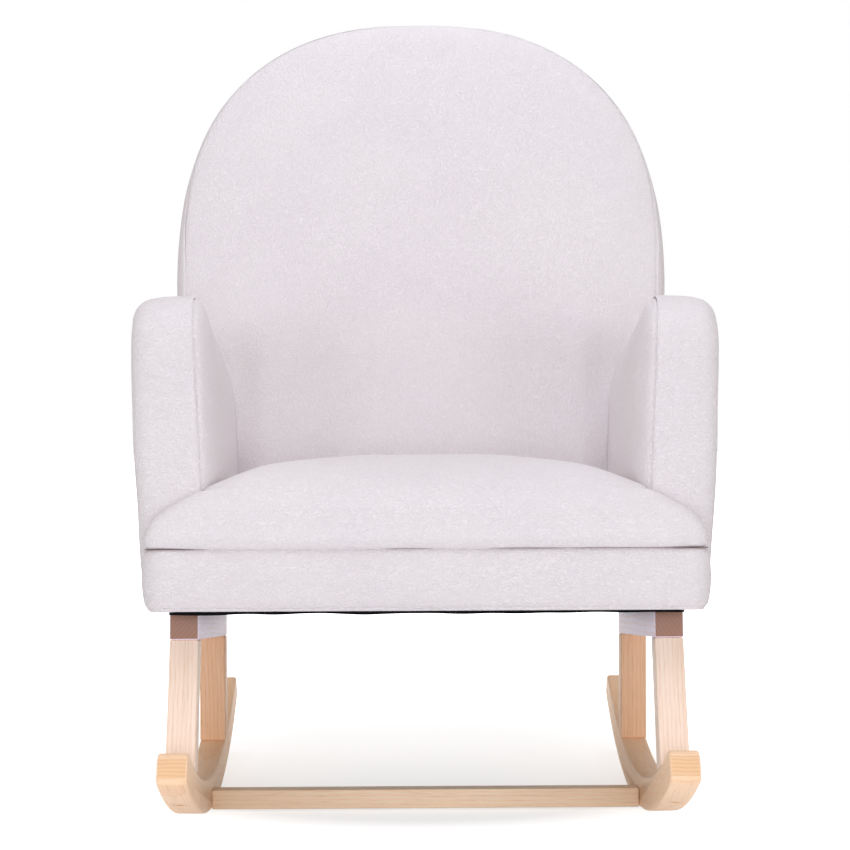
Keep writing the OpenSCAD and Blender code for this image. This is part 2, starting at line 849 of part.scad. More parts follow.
// Middle of the arm's swelling inner side, behind the arm's front and above the tuck
arm_swell_middle = [190, 95];
// How far the points of the arm's rear end, from its top down, count as rim, since the padding
// stays full where it runs up to the back
arm_rear_shares = [0.65, 0.65, 1];
// Rings of the arm's swelling inner side, from the middle out, at a distance from its seam
function arm_swelling(inset, x) = let (
    rim = arm_outline(inset, tuck_height),
    middle = arm_swell_middle + [arm_front, tuck_height],
    counts = concat([for (i = [1:arm_band_points]) 1], arm_rear_shares)
) [for (share = panel_shares) [for (i = [0:len(rim) - 1]) [
    x - swell(arm_swell, share * counts[i]),
    middle[0] + (rim[i][0] - middle[0]) * share,
    middle[1] + (rim[i][1] - middle[1]) * share
]]];

panel_inset = fabric + panel_padding;

// Distances from the seat's front to the screws that hold an arm's panel
panel_screw_places = [80, 190, 300];

module panel_screws(clearance) {
    for (y = panel_screw_places)
        translate([panel_place + panel_thickness, y, frame_floor + seat_rail_height / 2])
            rotate([0, -90, 0]) {
                translate([0, 0, -clearance])
                    cylinder(d = screw_head_dia + clearance, h = screw_head_height + clearance);
                cylinder(d = screw_dia + clearance, h = screw_head_height + frame_screw_length);
            }
}

module arm_panel(side) {
    color(board) in_arm(side) difference() {
        side_board(panel_place + panel_thickness / 2, panel_thickness)
            polygon(arm_outline(panel_inset, arm_low(panel_place + panel_thickness, frame_floor)));
        panel_screws(wood_gap);
    }
}

// The room that the padding and the fabric leave for the side rail
module side_rail_space(side) {
    in_seat() mirror([side < 0 ? 1 : 0, 0, 0]) translate([0, -far / 2, -far / 2]) cube([
        rail_gap / 2 + rail_width + panel_thickness / 2,
        far,
        far / 2 + rail_top_height + tee_flange + soft_gap
    ]);
}

module arm_foam(side) {
    inside = drawn_in(arm_section, skin);
    color(foam) difference() {
        in_arm(side) difference() {
            loft_fan(concat(
                [arm_ring(inside[6][0], arm_thickness - skin)],
                [for (i = [5:-1:2]) arm_ring(inside[i][0], inside[i][1])],
                [arm_ring(inside[1][0], skin + fabric)],
                backwards(arm_swelling(arm_inner_seam + soft_gap, skin + soft_gap))
            ));
            side_board(panel_place + panel_thickness / 2, panel_thickness + 2 * soft_gap)
                polygon(arm_outline(panel_inset - soft_gap, -arm_height, arm_round));
        }
        side_rail_space(side);
    }
}

module arm_band(side) {
    loop = concat(arm_section, backwards(drawn_in(arm_section, fabric)));
    color(cloth) difference() {
        in_arm(side) loft_strip([
            for (i = [0:arm_band_points - 1])
                [for (p = loop) let (q = arm_outline(p[0], arm_low(p[1], arm_hem))[i]) [p[1], q[0], q[1]]]
        ]);
        side_rail_space(side);
    }
}

module arm_inner_cover(side) {
    color(cloth) in_arm(side) loft_fan(concat(
        arm_swelling(arm_inner_seam, fabric),
        backwards(arm_swelling(arm_inner_seam, 0))
    ));
}

module arm_outer_cover(side) {
    color(cloth) in_arm(side)
        side_board(arm_thickness - fabric / 2, fabric)
            polygon(arm_outline(arm_outer_seam, arm_low(arm_thickness, arm_hem)));
}

// Back

// How square the back's arch is, the steps up each of its flanks, and the steps round its arch
arch_square = 2.45;
flank_steps = 4;
arch_steps = 20;

// The back's outline with an inset at its sides and top, from its lower left corner over the
// arch to its lower right corner, in pairs of x and a length up the back
function back_outline(inset, low) = let (
    half = back_half_width - inset,
    foot = back_foot_half_width - inset,
    rise = back_length - back_spring - inset,
    flank = [for (i = [0:flank_steps - 1]) let (z = low + (back_spring - low) * i / flank_steps)
        [foot + (half - foot) * z / back_spring, z]],
    arc = [for (i = [0:arch_steps]) let (a = i * 180 / arch_steps) [
        -half * signed_power(cos(a), 2 / arch_square),
        back_spring + rise * pow(sin(a), 2 / arch_square)
    ]]
) concat(
    [for (p = flank) [-p[0], p[1]]],
    arc,
    backwards(flank)
);

// The back's section as pairs of an inset and a depth, from its front seam to its rear seam
back_section = [
    [back_seam, soft_gap], [back_seam * 0.45, 8], [back_seam * 0.1, 22], [0, 38],
    [0, back_thickness - 18], [3, back_thickness - 6], [9, back_thickness]
];
back_hem = 3;

// Length up the back at which a depth lies over the hem's height
function hem_length(depth) = (back_hem + depth * sin(back_rake)) / cos(back_rake);

function back_ring(inset, low, y) = [for (p = back_outline(inset, low)) [p[0], y, p[1]]];

// Rings of the back's swelling front, from the middle out, at a depth from its seam
function back_swelling(inset, y) = let (
    rim = back_outline(inset, back_low),
    middle = (back_low + back_length) / 2
) [for (share = panel_shares) [for (p = rim) [
    p[0] * share,
    y - swell(back_swell, share),
    middle + (p[1] - middle) * share
]]];

// A flat shape in [x, z] as a board of the back, between two depths
module back_board(front, rear) {
    translate([0, rear, 0]) rotate([90, 0, 0]) linear_extrude(rear - front) children();
}

module below_frame() {
    in_seat() translate([-far / 2, -far / 2, frame_floor - far]) cube([far, far, far]);
}

frame_inset = skin + back_edge_pad + soft_gap;
function post_inner(z) = back_foot_half_width - frame_inset - post_width
    + (back_half_width - back_foot_half_width) * z / back_spring;

module back_post(side) {
    inner = [post_inner(0), post_inner(back_spring)];
    color(board) difference() {
        in_back() back_board(post_front, post_rear) polygon([
            [side * inner[0], 0],
            [side * (inner[0] + post_width), 0],
            [side * (inner[1] + post_width), back_spring],
            [side * inner[1], back_spring]
        ]);
        below_frame();
    }
}

module back_arch() {
    outer = back_outline(frame_inset, 0);
    inner = back_outline(frame_inset + arch_width, 0);
    ring = concat(
        [for (i = [0:arch_steps]) outer[flank_steps + i]],
        backwards([for (i = [0:arch_steps]) inner[flank_steps + i]])
    );
    color(board) in_back() for (front = [post_front, post_rear - arch_thickness])
        translate([0, 0, wood_gap]) back_board(front, front + arch_thickness) polygon(ring);
}

module back_bottom_rail() {
    half = [post_inner(0) - wood_gap, post_inner(back_low) - wood_gap];
    color(board) difference() {
        in_back() back_board(post_front, post_front + back_rail_thickness) polygon([
            [-half[0], 0],
            [half[0], 0],
            [half[1], back_low],
            [-half[1], back_low]
        ]);
        below_frame();
    }
}

module back_lumbar_rail() {
    half = [for (z = [lumbar_place, lumbar_place + lumbar_height]) post_inner(z) - wood_gap];
    color(board) in_back() back_board(post_front, post_front + back_rail_thickness) polygon([
        [-half[0], lumbar_place],
        [half[0], lumbar_place],
        [half[1], lumbar_place + lumbar_height],
        [-half[1], lumbar_place + lumbar_height]
    ]);
}

// Height of the lowest strap over the foot of the back
back_strap_margin = 40;

module back_webbing() {
    low = back_low + back_strap_margin;
    pitch = (back_spring - low) / back_straps;
    half = post_inner(low) + post_width - soft_gap;
    color(strap) in_back() for (i = [0:back_straps - 1])
        translate([-half, back_front + soft_gap, low + i * pitch])
            cube([2 * half, strap_thickness, strap_width]);
}

module back_foam() {
    inside = drawn_in(back_section, skin);
    color(foam) in_back() difference() {
        loft_fan(concat(
            back_swelling(inside[0][0] + soft_gap, skin),
            [for (i = [1:4]) back_ring(inside[i][0], back_low, inside[i][1] + (i == 1 ? fabric : 0))]
        ));
        back_board(back_front, back_thickness) polygon(back_outline(skin + back_edge_pad, -back_low));
    }
}

module back_stiffener() {
    front = post_rear + soft_gap;
    color(strap) in_back() back_board(front, front + stiffener_thickness)
        polygon(back_outline(frame_inset + soft_gap, hem_length(back_thickness)));
}

module back_front_cover() {
    rim = back_seam + skin;
    color(cloth) in_back() loft_fan(concat(back_swelling(rim, 0), backwards(back_swelling(rim, fabric))));
}

module back_band_cover() {
    loop = concat(back_section, backwards(drawn_in(back_section, fabric)));
    count = len(back_outline(0, 0));
    color(cloth) in_back() loft_strip([
        for (i = [count - 1:-1:0])
            [for (p = loop) let (q = back_outline(p[0], hem_length(p[1]))[i]) [q[0], p[1], q[1]]]
    ]);
}

module back_rear_cover() {
    rim = back_section[6][0] + skin;
    color(cloth) in_back() back_board(back_thickness - fabric, back_thickness)
        polygon(back_outline(rim, hem_length(back_thickness)));
}

module frame_screws() {
    color(steel) for (side = [left, right]) in_arm(side) panel_screws(0);
}

rocker_rail(left);  // rocker_rail_left
rocker_rail(right);  // rocker_rail_right
front_leg(left);  // front_leg_left
front_leg(right);  // front_leg_right
rear_leg(left);  // rear_leg_left
rear_leg(right);  // rear_leg_right
seat_bearer(left);  // seat_bearer_left
seat_bearer(right);  // seat_bearer_right
crossbar();
crossbar_dowels();
leg_dowels();
leg_screws();
bearer_bolts();
bearer_washers();
tee_nuts();
dust_cover();
seat_front_rail();
seat_rear_rail();
seat_side_rail(left);  // seat_side_rail_left
seat_side_rail(right);  // seat_side_rail_right
corner_blocks();
seat_webbing_lengthwise();
seat_webbing_crosswise();
seat_foam();
seat_cover();
apron_foam();
apron_cover();
arm_panel(left);  // arm_panel_left
arm_panel(right);  // arm_panel_right
arm_foam(left);  // arm_foam_left
arm_foam(right);  // arm_foam_right
arm_band(left);  // arm_band_left
arm_band(right);  // arm_band_right
arm_inner_cover(left);  // arm_inner_cover_left
arm_inner_cover(right);  // arm_inner_cover_right
arm_outer_cover(left);  // arm_outer_cover_left
arm_outer_cover(right);  // arm_outer_cover_right
back_post(left);  // back_post_left
back_post(right);  // back_post_right
back_arch();
back_bottom_rail();
back_lumbar_rail();
back_webbing();
back_foam();
back_stiffener();
back_front_cover();
back_band_cover();
back_rear_cover();
frame_screws();
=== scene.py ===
import math

import bmesh
import bpy
import numpy as np
from bpy.props import FloatProperty, FloatVectorProperty, IntProperty, PointerProperty
from bpy.types import Operator, Panel, PropertyGroup
from mathutils import Matrix, Vector, noise


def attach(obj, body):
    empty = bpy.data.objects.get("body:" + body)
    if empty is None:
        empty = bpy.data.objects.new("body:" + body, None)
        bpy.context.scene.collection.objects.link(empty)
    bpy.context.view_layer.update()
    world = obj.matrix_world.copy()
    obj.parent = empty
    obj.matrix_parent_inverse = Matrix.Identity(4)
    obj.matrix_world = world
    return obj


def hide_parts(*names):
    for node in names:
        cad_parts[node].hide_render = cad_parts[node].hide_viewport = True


bl_info = {
    "name": "Upholstered Rocking Chair",
    "version": (1, 0, 0),
    "blender": (4, 5, 0),
    "location": "View3D > Sidebar > Rocking chair",
    "description": "Dresses a rocking chair's frame with padding, looped fabric and oiled wood",
    "category": "Object",
}

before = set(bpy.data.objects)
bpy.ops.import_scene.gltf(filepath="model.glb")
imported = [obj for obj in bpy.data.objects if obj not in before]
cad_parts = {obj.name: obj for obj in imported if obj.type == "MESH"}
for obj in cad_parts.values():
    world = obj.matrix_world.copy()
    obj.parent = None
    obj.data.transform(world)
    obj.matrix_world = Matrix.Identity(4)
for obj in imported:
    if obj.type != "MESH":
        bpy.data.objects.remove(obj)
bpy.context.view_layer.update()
BODY = "root"

# The chair's own sizes, in millimetres and degrees. The frame is in metres.

FLOOR_LINE = -5.1
BEARER_FRONT = 218
BEARER_LIFT = 225
BEARER_HEIGHT = 30
SEAT_TILT = 6
SEAT_OVERHANG = 48
ROCKER_RADIUS = 765
LEG_LEAN = 20
RAIL_HALF_GAP = 257
RAIL_WIDTH = 33

SEAM_HEIGHT = 71
RIM_RISE = 8
SEAT_HALF = 320
CROWN_RUN = 197
CROWN_RISE = 101
CROWN_PROUD = 2.5
SEAT_SWELL = 7
WEB_TOP = 65.5

APRON_HALF = 318
APRON_CORNER = 28

ARM_INNER = 246
ARM_THICK = 72
ARM_LEAN = 3.2
ARM_FRONT = 38
ARM_HEIGHT = 377
ARM_FALL = 7.2
ARM_ROUND = 62
ARM_TUCK = 148
ARM_SWELL = 17
ARM_SEAM = 4.6
ARM_BACK_GAP = 3.3
ARM_PANEL_EDGE = 22.4
HEM = 3

BACK_FOOT = 361
BACK_RAKE = 8
BACK_LENGTH = 812
BACK_SPRING = 450
BACK_HALF = 327
BACK_FOOT_HALF = 316
BACK_THICK = 80
BACK_SQUARE = 2.45
BACK_LOW = 63
BACK_SWELL = 14
BACK_SEAM = 15.9
BACK_PANEL_EDGE = 11.8
ARCH_ROLL = 12

STRAP_WIDTH = 56
STRAP_THICK = 2

LINING_HALF = 287
LINING_FRONT = 9
LINING_REAR = 429
LINING_LIP = 2.5
LINING_CORNER = 7

# The camera's place in metres and its turns in degrees
CAMERA_PLACE = (-0.0316, -2.563, 0.505)
CAMERA_TURN = (90 - 0.96, 0.0, -0.74)
CAMERA_ROLL = -0.2

# Worked out from the sizes above
FALL, RAKE, LEAN = (math.radians(angle) for angle in (ARM_FALL, BACK_RAKE, ARM_LEAN))
ARM_CORNER_Y = ARM_FRONT + ARM_ROUND
ARM_CORNER_Z = ARM_HEIGHT - ARM_ROUND * math.tan(FALL) - ARM_ROUND / math.cos(FALL)
ARM_REAR = BACK_FOOT - ARM_BACK_GAP


def tilted(degrees):
    """A turn about the line across the chair."""
    return Matrix.Rotation(math.radians(degrees), 4, "X")


def moved(x, y, z):
    """A move without a turn."""
    return Matrix.Translation((x, y, z))


ON_FLOOR = moved(0, FLOOR_LINE, 0)
ON_BEARERS = ON_FLOOR @ moved(0, -BEARER_FRONT, BEARER_LIFT) @ tilted(-SEAT_TILT)
IN_SEAT = ON_BEARERS @ moved(0, -SEAT_OVERHANG, BEARER_HEIGHT)
IN_BACK = IN_SEAT @ moved(0, BACK_FOOT, 0) @ tilted(-BACK_RAKE)


def in_arm(side):
    """The arm's frame: X outward from its inner face, Y to the rear, Z up."""
    mirrored = Matrix.Diagonal((side, 1, 1, 1))
    leaning = Matrix.Rotation(LEAN, 4, "Y")
    return IN_SEAT @ mirrored @ moved(ARM_INNER, 0, 0) @ leaning


def srgb(red, green, blue):
    """A colour of 0 to 255 a channel as the linear colour that a socket takes."""
    return tuple(
        c / 12.92 if c <= 0.04045 else ((c + 0.055) / 1.055) ** 2.4
        for c in (red / 255, green / 255, blue / 255)
    )


# Meshes


def turned_by(points, matrix):
    """Points under a matrix."""
    m = np.array(matrix)
    return np.asarray(points, float) @ m[:3, :3].T + m[:3, 3]


def placed(points, matrix):
    """Points in millimetres, in a frame of the chair, as points of the whole chair in metres."""
    return turned_by(points, matrix) / 1000


def linked(name, data):
    """An object of the scene that shows a mesh, a light or a camera."""
    made = bpy.data.objects.new(name, data)
    bpy.context.scene.collection.objects.link(made)
    return made


def piece(name, mesh, slot, finish, *nodes):
    """Links a finished piece, gives it its finish and lets it stand for its CAD nodes."""
    made = linked(name, mesh)
    mesh.materials.clear()
    mesh.materials.append(finish)
    if nodes:
        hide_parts(*nodes)
    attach(made, BODY)
    return made


def ring_mesh(name, rings, sharp=60):
    """A closed solid through rings of equal counts of points, with a fan on each end."""
    rings = np.asarray(rings, float)
    count, around = rings.shape[:2]
    points = np.vstack([rings.reshape(-1, 3), [rings[0].mean(0), rings[-1].mean(0)]])
    pairs = [(i, (i + 1) % around) for i in range(around)]
    faces = [
        (low + i, low + j, low + around + j, low + around + i)
        for low in range(0, (count - 1) * around, around) for i, j in pairs
    ]
    end, first = (count - 1) * around, count * around
    for i, j in pairs:
        faces += [(first, j, i), (first + 1, end + i, end + j)]
    mesh = bpy.data.meshes.new(name)
    mesh.from_pydata(points.tolist(), [], faces)
    tidy(mesh, sharp)
    return mesh


def tidy(mesh, sharp):
    """Merges doubled points, turns every face outward and shades the mesh smooth."""
    shape = bmesh.new()
    shape.from_mesh(mesh)
    bmesh.ops.remove_doubles(shape, verts=shape.verts, dist=1e-6)
    bmesh.ops.recalc_face_normals(shape, faces=shape.faces)
    shaded(mesh, shape, sharp)


def shaded(mesh, shape, sharp):
    """Writes a shape to a mesh and shades it smooth, but for edges sharper than an angle."""
    shape.to_mesh(mesh)
    shape.free()
    mesh.shade_smooth()
    mesh.set_sharp_from_angle(angle=math.radians(sharp))


def soften(mesh, height, size, seed):
    """Moves points along their normals by a smooth noise, as hand-laid padding lies."""
    offset = Vector((seed * 1.7, seed * 0.9, seed * 2.3))
    normals = [v.normal.copy() for v in mesh.vertices]
    for v, normal in zip(mesh.vertices, normals):
        v.co += normal * height * noise.noise(v.co / size + offset)


def smooth_line(points, count):
    """A smooth line of a count of points through the given ones, evenly spaced along it."""
    p = np.asarray(points, float)
    ends = np.vstack([2 * p[0] - p[1], p, 2 * p[-1] - p[-2]])
    fine = []
    for i in range(len(p) - 1):
        a, b, c, d = ends[i : i + 4]
        for t in np.linspace(0, 1, 24, endpoint=False):
            fine.append(
                0.5 * (2 * b + (c - a) * t + (2 * a - 5 * b + 4 * c - d) * t**2
                       + (3 * b - a - 3 * c + d) * t**3)
            )
    fine.append(p[-1])
    return spaced(fine, count)


def spaced(points, count):
    """The same line with a count of evenly spaced points."""
    p = np.asarray(points, float)
    run = np.concatenate([[0], np.cumsum(np.linalg.norm(np.diff(p, axis=0), axis=1))])
    places = np.linspace(0, run[-1], count)
    return np.stack([np.interp(places, run, p[:, k]) for k in range(p.shape[1])], 1)


def ramped(values, low, high):
    """A smooth rise from 0 at a low value to 1 at a high one."""
    t = np.clip((values - low) / (high - low), 0, 1)
    return t * t * (3 - 2 * t)


def rounding(distance, reach):
    """A quarter circle from 0 at a seam to 1 at a reach from it."""
    return np.sqrt(1 - (1 - np.clip(distance / reach, 0, 1)) ** 2)


def rolled(share, edge, depth):
    """How far a pad's face turns in towards the seam near its rim."""
    return depth * np.clip((share - edge) / (1 - edge), 0, 1) ** 2.2


def hem_height(depth, slope):
    """The height of the hem at a depth into a piece that leans by a slope."""
    return (HEM + depth * math.sin(slope)) / math.cos(slope)


# Outlines, as the padding and its covers follow them


def arm_outline(inset, low, closed=True):
    """The arm's side view, from its lower front corner over the top to its lower rear corner."""
    fall, rake = math.tan(FALL), math.tan(RAKE)
    turn = ARM_ROUND - inset
    top = ARM_CORNER_Z + turn / math.cos(FALL) + ARM_CORNER_Y * fall
    end_y = (ARM_REAR + rake * top) / (1 + rake * fall)
    end_z = top - end_y * fall
    angles = np.radians(np.linspace(180, 90 - ARM_FALL, 30))
    arc = np.stack(
        [ARM_CORNER_Y + turn * np.cos(angles), ARM_CORNER_Z + turn * np.sin(angles)], 1
    )
    front = np.linspace([ARM_FRONT + inset, low], arc[0], 44, endpoint=False)
    over = np.linspace(arc[-1], [end_y, end_z], 40)[1:]
    parts = [front, arc, over]
    if closed:
        foot = [ARM_REAR + rake * low, low]
        parts.append(np.linspace([end_y, end_z], foot, 40)[1:])
        parts.append(np.linspace(foot, [ARM_FRONT + inset, low], 36)[1:-1])
    return np.vstack(parts)


def square_arch(half, rise, power):
    """An arch with square shoulders, from its left end to its right."""
    angles = np.radians(np.linspace(0, 180, 900))
    cosine, sine = np.cos(angles), np.sin(angles)
    return np.stack([
        -half * np.sign(cosine) * np.abs(cosine) ** power, rise * np.abs(sine) ** power,
    ], 1)


def back_outline(inset, low, closed=True):
    """The back from its lower left corner over the arch to its lower right corner."""
    half, foot = BACK_HALF - inset, BACK_FOOT_HALF - inset
    rise = BACK_LENGTH - BACK_SPRING - inset
    arc = square_arch(half, rise, 2 / BACK_SQUARE) + [0, BACK_SPRING]
    foot_x = foot + (half - foot) * low / BACK_SPRING
    left = np.linspace([-foot_x, low], [-half, BACK_SPRING], 60, endpoint=False)
    right = np.linspace([half, BACK_SPRING], [foot_x, low], 60)[1:]
    parts = [left, spaced(arc, 170), right]
    if closed:
        parts.append(np.linspace([foot_x, low], [-foot_x, low], 90)[1:-1])
    return np.vstack(parts)


def arch_share(heights):
    """How far heights have come from the back's straight sides, at 0, to over its arch, at 1."""
    return ramped(heights, BACK_SPRING - 60, BACK_SPRING + 240)


def back_seam_line(inset, low, closed=True):
    """The same outline drawn in by an inset at its sides, and by less over its arch."""
    outer, inner = back_outline(0, low, closed), back_outline(inset, low, closed)
    share = 1 - 0.86 * arch_share(outer[:, 1])
    return outer + (inner - outer) * share[:, None]


def cushion_ring(inset, share, height):
    """One level ring of the seat cushion, as it is before the arms and the back press it."""
    half = (SEAT_HALF - inset) * share
    run = (CROWN_RUN - inset) * share
    squareness = 12 + 10 * ramped(share, 0.9, 0.99)
    front = square_arch(half, -run, 2 / squareness) + [0, CROWN_RUN - SEAT_SWELL]
    rear = BACK_FOOT + BACK_THICK - inset
    left = np.linspace([-half, rear], front[0], 30, endpoint=False)
    right = np.linspace(front[-1], [half, rear], 30)[1:]
    across = np.linspace([half, rear], [-half, rear], 30)[1:-1]
    flat = np.vstack([left, spaced(front, 150), right, across])
    return np.column_stack([flat, np.full(len(flat), height)])


def apron_plan(inset):
    """The apron's plan, from its left end round the front to its right end."""
    half, corner = APRON_HALF - inset, APRON_CORNER - inset
    end = ARM_FRONT - 0.3
    angles = np.radians(np.linspace(0, 90, 16))
    left = np.stack([
        -half + corner - corner * np.cos(angles),
        inset + corner - corner * np.sin(angles),
    ], 1)
    right = left[::-1] * [-1, 1]
    front = np.linspace(left[-1], right[0], 150)[1:-1]
    return np.vstack([[[-half, end]], left, front, right, [[half, end]]])


def apron_rings(loop, reach=None):
    """Rings that carry a loop of insets and heights round the front of the seat.

    With a reach, the rings run on along the sides as far as that."""
    plans = [apron_plan(inset) for inset, _ in loop]
    if reach:
        plans = [np.vstack([[[p[0][0], reach]], p, [[p[-1][0], reach]]]) for p in plans]
    return [
        placed([(*plan[i], z) for plan, (_, z) in zip(plans, loop)], IN_SEAT)
        for i in range(len(plans[0]))
    ]


# Finishes


def node(tree, kind, values=(), **settings):
    """Adds a node, sets it, and links or fills its inputs."""
    made = tree.nodes.new(kind)
    for key, value in settings.items():
        setattr(made, key, value)
    for key, value in dict(values).items():
        if isinstance(value, bpy.types.NodeSocket):
            tree.links.new(value, made.inputs[key])
        else:
            made.inputs[key].default_value = value
    return made


def bare_tree(owner):
    """The empty node tree of a material or of the world."""
    owner.use_nodes = True
    owner.node_tree.nodes.clear()
    return owner.node_tree


def blank_finish(name, **shader_values):
    """A material with only its shader, whose plain numbers are set on its own sockets."""
    made = bpy.data.materials.new(name)
    tree = bare_tree(made)
    shader = node(tree, "ShaderNodeBsdfPrincipled", shader_values)
    node(tree, "ShaderNodeOutputMaterial", {"Surface": shader.outputs[0]})
    return made, tree, shader


def ramp(tree, value, *stops):
    """A colour ramp over a value; each stop is a place and a linear colour."""
    made = node(tree, "ShaderNodeValToRGB", {"Fac": value})
    line = made.color_ramp
    while len(line.elements) < len(stops):
        line.elements.new(1)
    for element, (place, colour) in zip(line.elements, stops):
        element.position = place
        element.color = (*colour, 1)
    return made.outputs["Color"]


def shade_of(colour, factor):
    """A darker or lighter shade of a colour."""
    return tuple(c * factor for c in colour[:3])


def maths(tree, operation, *values, **settings):
    """A sum on numbers or sockets."""
    made = node(tree, "ShaderNodeMath", enumerate(values), operation=operation, **settings)
    return made.outputs[0]


def stretched(tree, place, scale, start=(0, 0, 0)):
    """A place scaled along each axis, from a start."""
    values = {"Vector": place, "Scale": scale, "Location": start}
    return node(tree, "ShaderNodeMapping", values).outputs[0]


def cloudy(tree, place, scale, detail, roughness=0.5, distortion=0.0):
    """The outputs of a smooth noise."""
    return node(tree, "ShaderNodeTexNoise", {
        "Vector": place, "Scale": scale, "Detail": detail, "Roughness": roughness,
        "Distortion": distortion,
    }).outputs


def mixed(tree, a, b, factor, blend="MIX"):
    """The mix of two colours. A Mix node's colour sockets are known only by their numbers."""
    made = node(
        tree, "ShaderNodeMix", {0: factor, 6: a, 7: b}, data_type="RGBA", blend_type=blend
    )
    return made.outputs[2]


def multiplied(tree, a, b, factor):
    """One colour darkened by another, by a share."""
    return mixed(tree, a, b, factor, "MULTIPLY")


def wire_up(tree, shader, colour, height, strength, distance):
    """Gives a shader its colour and the relief of a height map."""
    tree.links.new(colour, shader.inputs["Base Color"])
    values = {"Height": height, "Strength": strength, "Distance": distance}
    bump = node(tree, "ShaderNodeBump", values)
    tree.links.new(bump.outputs[0], shader.inputs["Normal"])


def looped_fabric(name, colour, relief, stretch, seed):
    """Looped pile: pebbles of crinkled loops, drawn out along the cloth's run."""
    made, tree, shader = blank_finish(name, **{
        "Roughness": 0.95, "Sheen Weight": 0.18, "Sheen Roughness": 0.6, "Specular IOR Level": 0.2,
    })
    place = node(tree, "ShaderNodeTexCoord").outputs["Object"]
    laid = stretched(tree, place, stretch, (seed, 0, 0))
    folds = cloudy(tree, laid, 310, 1.5, 0.5, 0.6)["Fac"]
    creased = maths(tree, "ABSOLUTE", maths(tree, "SUBTRACT", folds, 0.5))
    pebbles = maths(tree, "POWER", creased, 0.6)
    loops = maths(tree, "MULTIPLY", cloudy(tree, laid, 850, 1, 0.6)["Fac"], 0.3)
    height = maths(tree, "MULTIPLY_ADD", pebbles, 2.4, loops)
    # Darker where the height is low, in the creases between the pebbles: painted shade of the
    # pile's relief, laid over its bump.
    stops = ((0.15, 0.9), (0.5, 0.985), (0.8, 1.01))
    tone = ramp(tree, height, *((at, shade_of(colour, shade)) for at, shade in stops))
    patches = cloudy(tree, place, 9, 2)["Fac"]
    cast = ramp(tree, patches, (0.3, (0.975, 0.97, 0.98)), (0.7, (1.0, 1.0, 1.0)))
    wire_up(tree, shader, multiplied(tree, tone, cast, 1.0), height, relief, 0.0009)
    return made


def oiled_wood(name, pale, ring, end):
    """Pale wood whose rings and pores follow the piece's own "grain" attribute."""
    made, tree, shader = blank_finish(
        name, **{"Specular IOR Level": 0.4, "Coat Weight": 0.08, "Coat Roughness": 0.35}
    )
    grain = node(tree, "ShaderNodeAttribute", attribute_name="grain").outputs["Vector"]
    cut = node(tree, "ShaderNodeAttribute", attribute_name="end_face").outputs["Fac"]
    drift = cloudy(tree, stretched(tree, grain, (2.2, 9, 9)), 1.0, 2)["Color"]
    trunk = node(
        tree, "ShaderNodeVectorMath", {0: drift, 1: (0.0, 0.014, 0.014), 2: grain},
        operation="MULTIPLY_ADD",
    ).outputs[0]
    rings = node(
        tree, "ShaderNodeTexWave",
        {"Vector": trunk, "Scale": 76, "Distortion": 1.6, "Detail": 2.5, "Detail Scale": 0.6},
        wave_type="RINGS", rings_direction="X", wave_profile="SAW",
    ).outputs["Fac"]
    pores = cloudy(tree, stretched(tree, grain, (26, 900, 900)), 1.0, 3, 0.7)["Fac"]
    streaks = cloudy(tree, stretched(tree, grain, (5, 60, 60)), 1.0, 3)["Fac"]
    body = ramp(tree, rings, (0.0, pale), (0.6, pale), (1.0, ring))
    streak = ramp(tree, streaks, (0.35, (0.9, 0.86, 0.8)), (0.62, (1.0, 1.0, 1.0)))
    dots = ramp(tree, pores, (0.3, (0.78, 0.68, 0.58)), (0.47, (1.0, 1.0, 1.0)))
    side = multiplied(tree, multiplied(tree, body, streak, 0.45), dots, 0.75)
    sawn = multiplied(tree, ramp(tree, rings, (0.3, end), (1.0, shade_of(end, 0.86))), dots, 0.4)
    rough = node(
        tree, "ShaderNodeMapRange", {"Value": pores, "To Min": 0.62, "To Max": 0.44}
    ).outputs[0]
    tree.links.new(rough, shader.inputs["Roughness"])
    wire_up(tree, shader, mixed(tree, side, sawn, cut), pores, 0.12, 0.0004)
    return made


def plain_finish(name, pale, dark, stretch, scale, rough, bumps):
    """A finish of streaks or specks between two tones, on Object coordinates."""
    made, tree, shader = blank_finish(name, Roughness=rough)
    place = node(tree, "ShaderNodeTexCoord").outputs["Object"]
    specks = cloudy(tree, stretched(tree, place, stretch), scale, 4)["Fac"]
    tone = ramp(tree, specks, (0.35, dark), (0.65, pale))
    wire_up(tree, shader, tone, specks, bumps, 0.0006)
    return made


def woven_strap(name, pale, dark):
    """Webbing: fine ribs over and under in both directions."""
    made, tree, shader = blank_finish(name, Roughness=0.85)
    place = node(tree, "ShaderNodeTexCoord").outputs["Object"]
    lines = [
        node(
            tree, "ShaderNodeTexWave", {"Vector": place, "Scale": 90, "Distortion": 0.4},
            bands_direction=way,
        ).outputs["Fac"]
        for way in ("X", "Z")
    ]
    weave = maths(tree, "MULTIPLY", *lines)
    wire_up(tree, shader, ramp(tree, weave, (0.1, dark), (0.6, pale)), weave, 0.4, 0.0006)
    return made


# Two tones, the stretch and scale of the specks, the roughness and the relief
PLAIN_FINISHES = {
    "zinc_steel": ((176, 178, 182), (140, 142, 148), (1, 1, 1), 900, 0.38, 0.1),
    # Dark steel whose darkness is painted shade of the screw recesses.
    "blackened_steel": ((64, 56, 52), (40, 34, 32), (1, 1, 1), 900, 0.6, 0.1),
    "beech_dowel": ((206, 170, 134), (176, 138, 104), (4, 4, 1), 220, 0.7, 0.2),
    "frame_board": ((216, 188, 142), (188, 156, 110), (1, 6, 6), 30, 0.75, 0.25),
    "hardboard": ((150, 124, 96), (124, 100, 76), (1, 1, 1), 260, 0.9, 0.3),
    # Painted shade: the dark cord that stands for the shadow in the seat's seam.
    "seam_thread": ((120, 92, 88), (98, 74, 72), (1, 1, 1), 400, 0.9, 0.3),
}


def finish_named(name, maker, *values):
    """A finish that several pieces share, made the first time it is asked for."""
    return bpy.data.materials.get(name) or maker(name, *values)


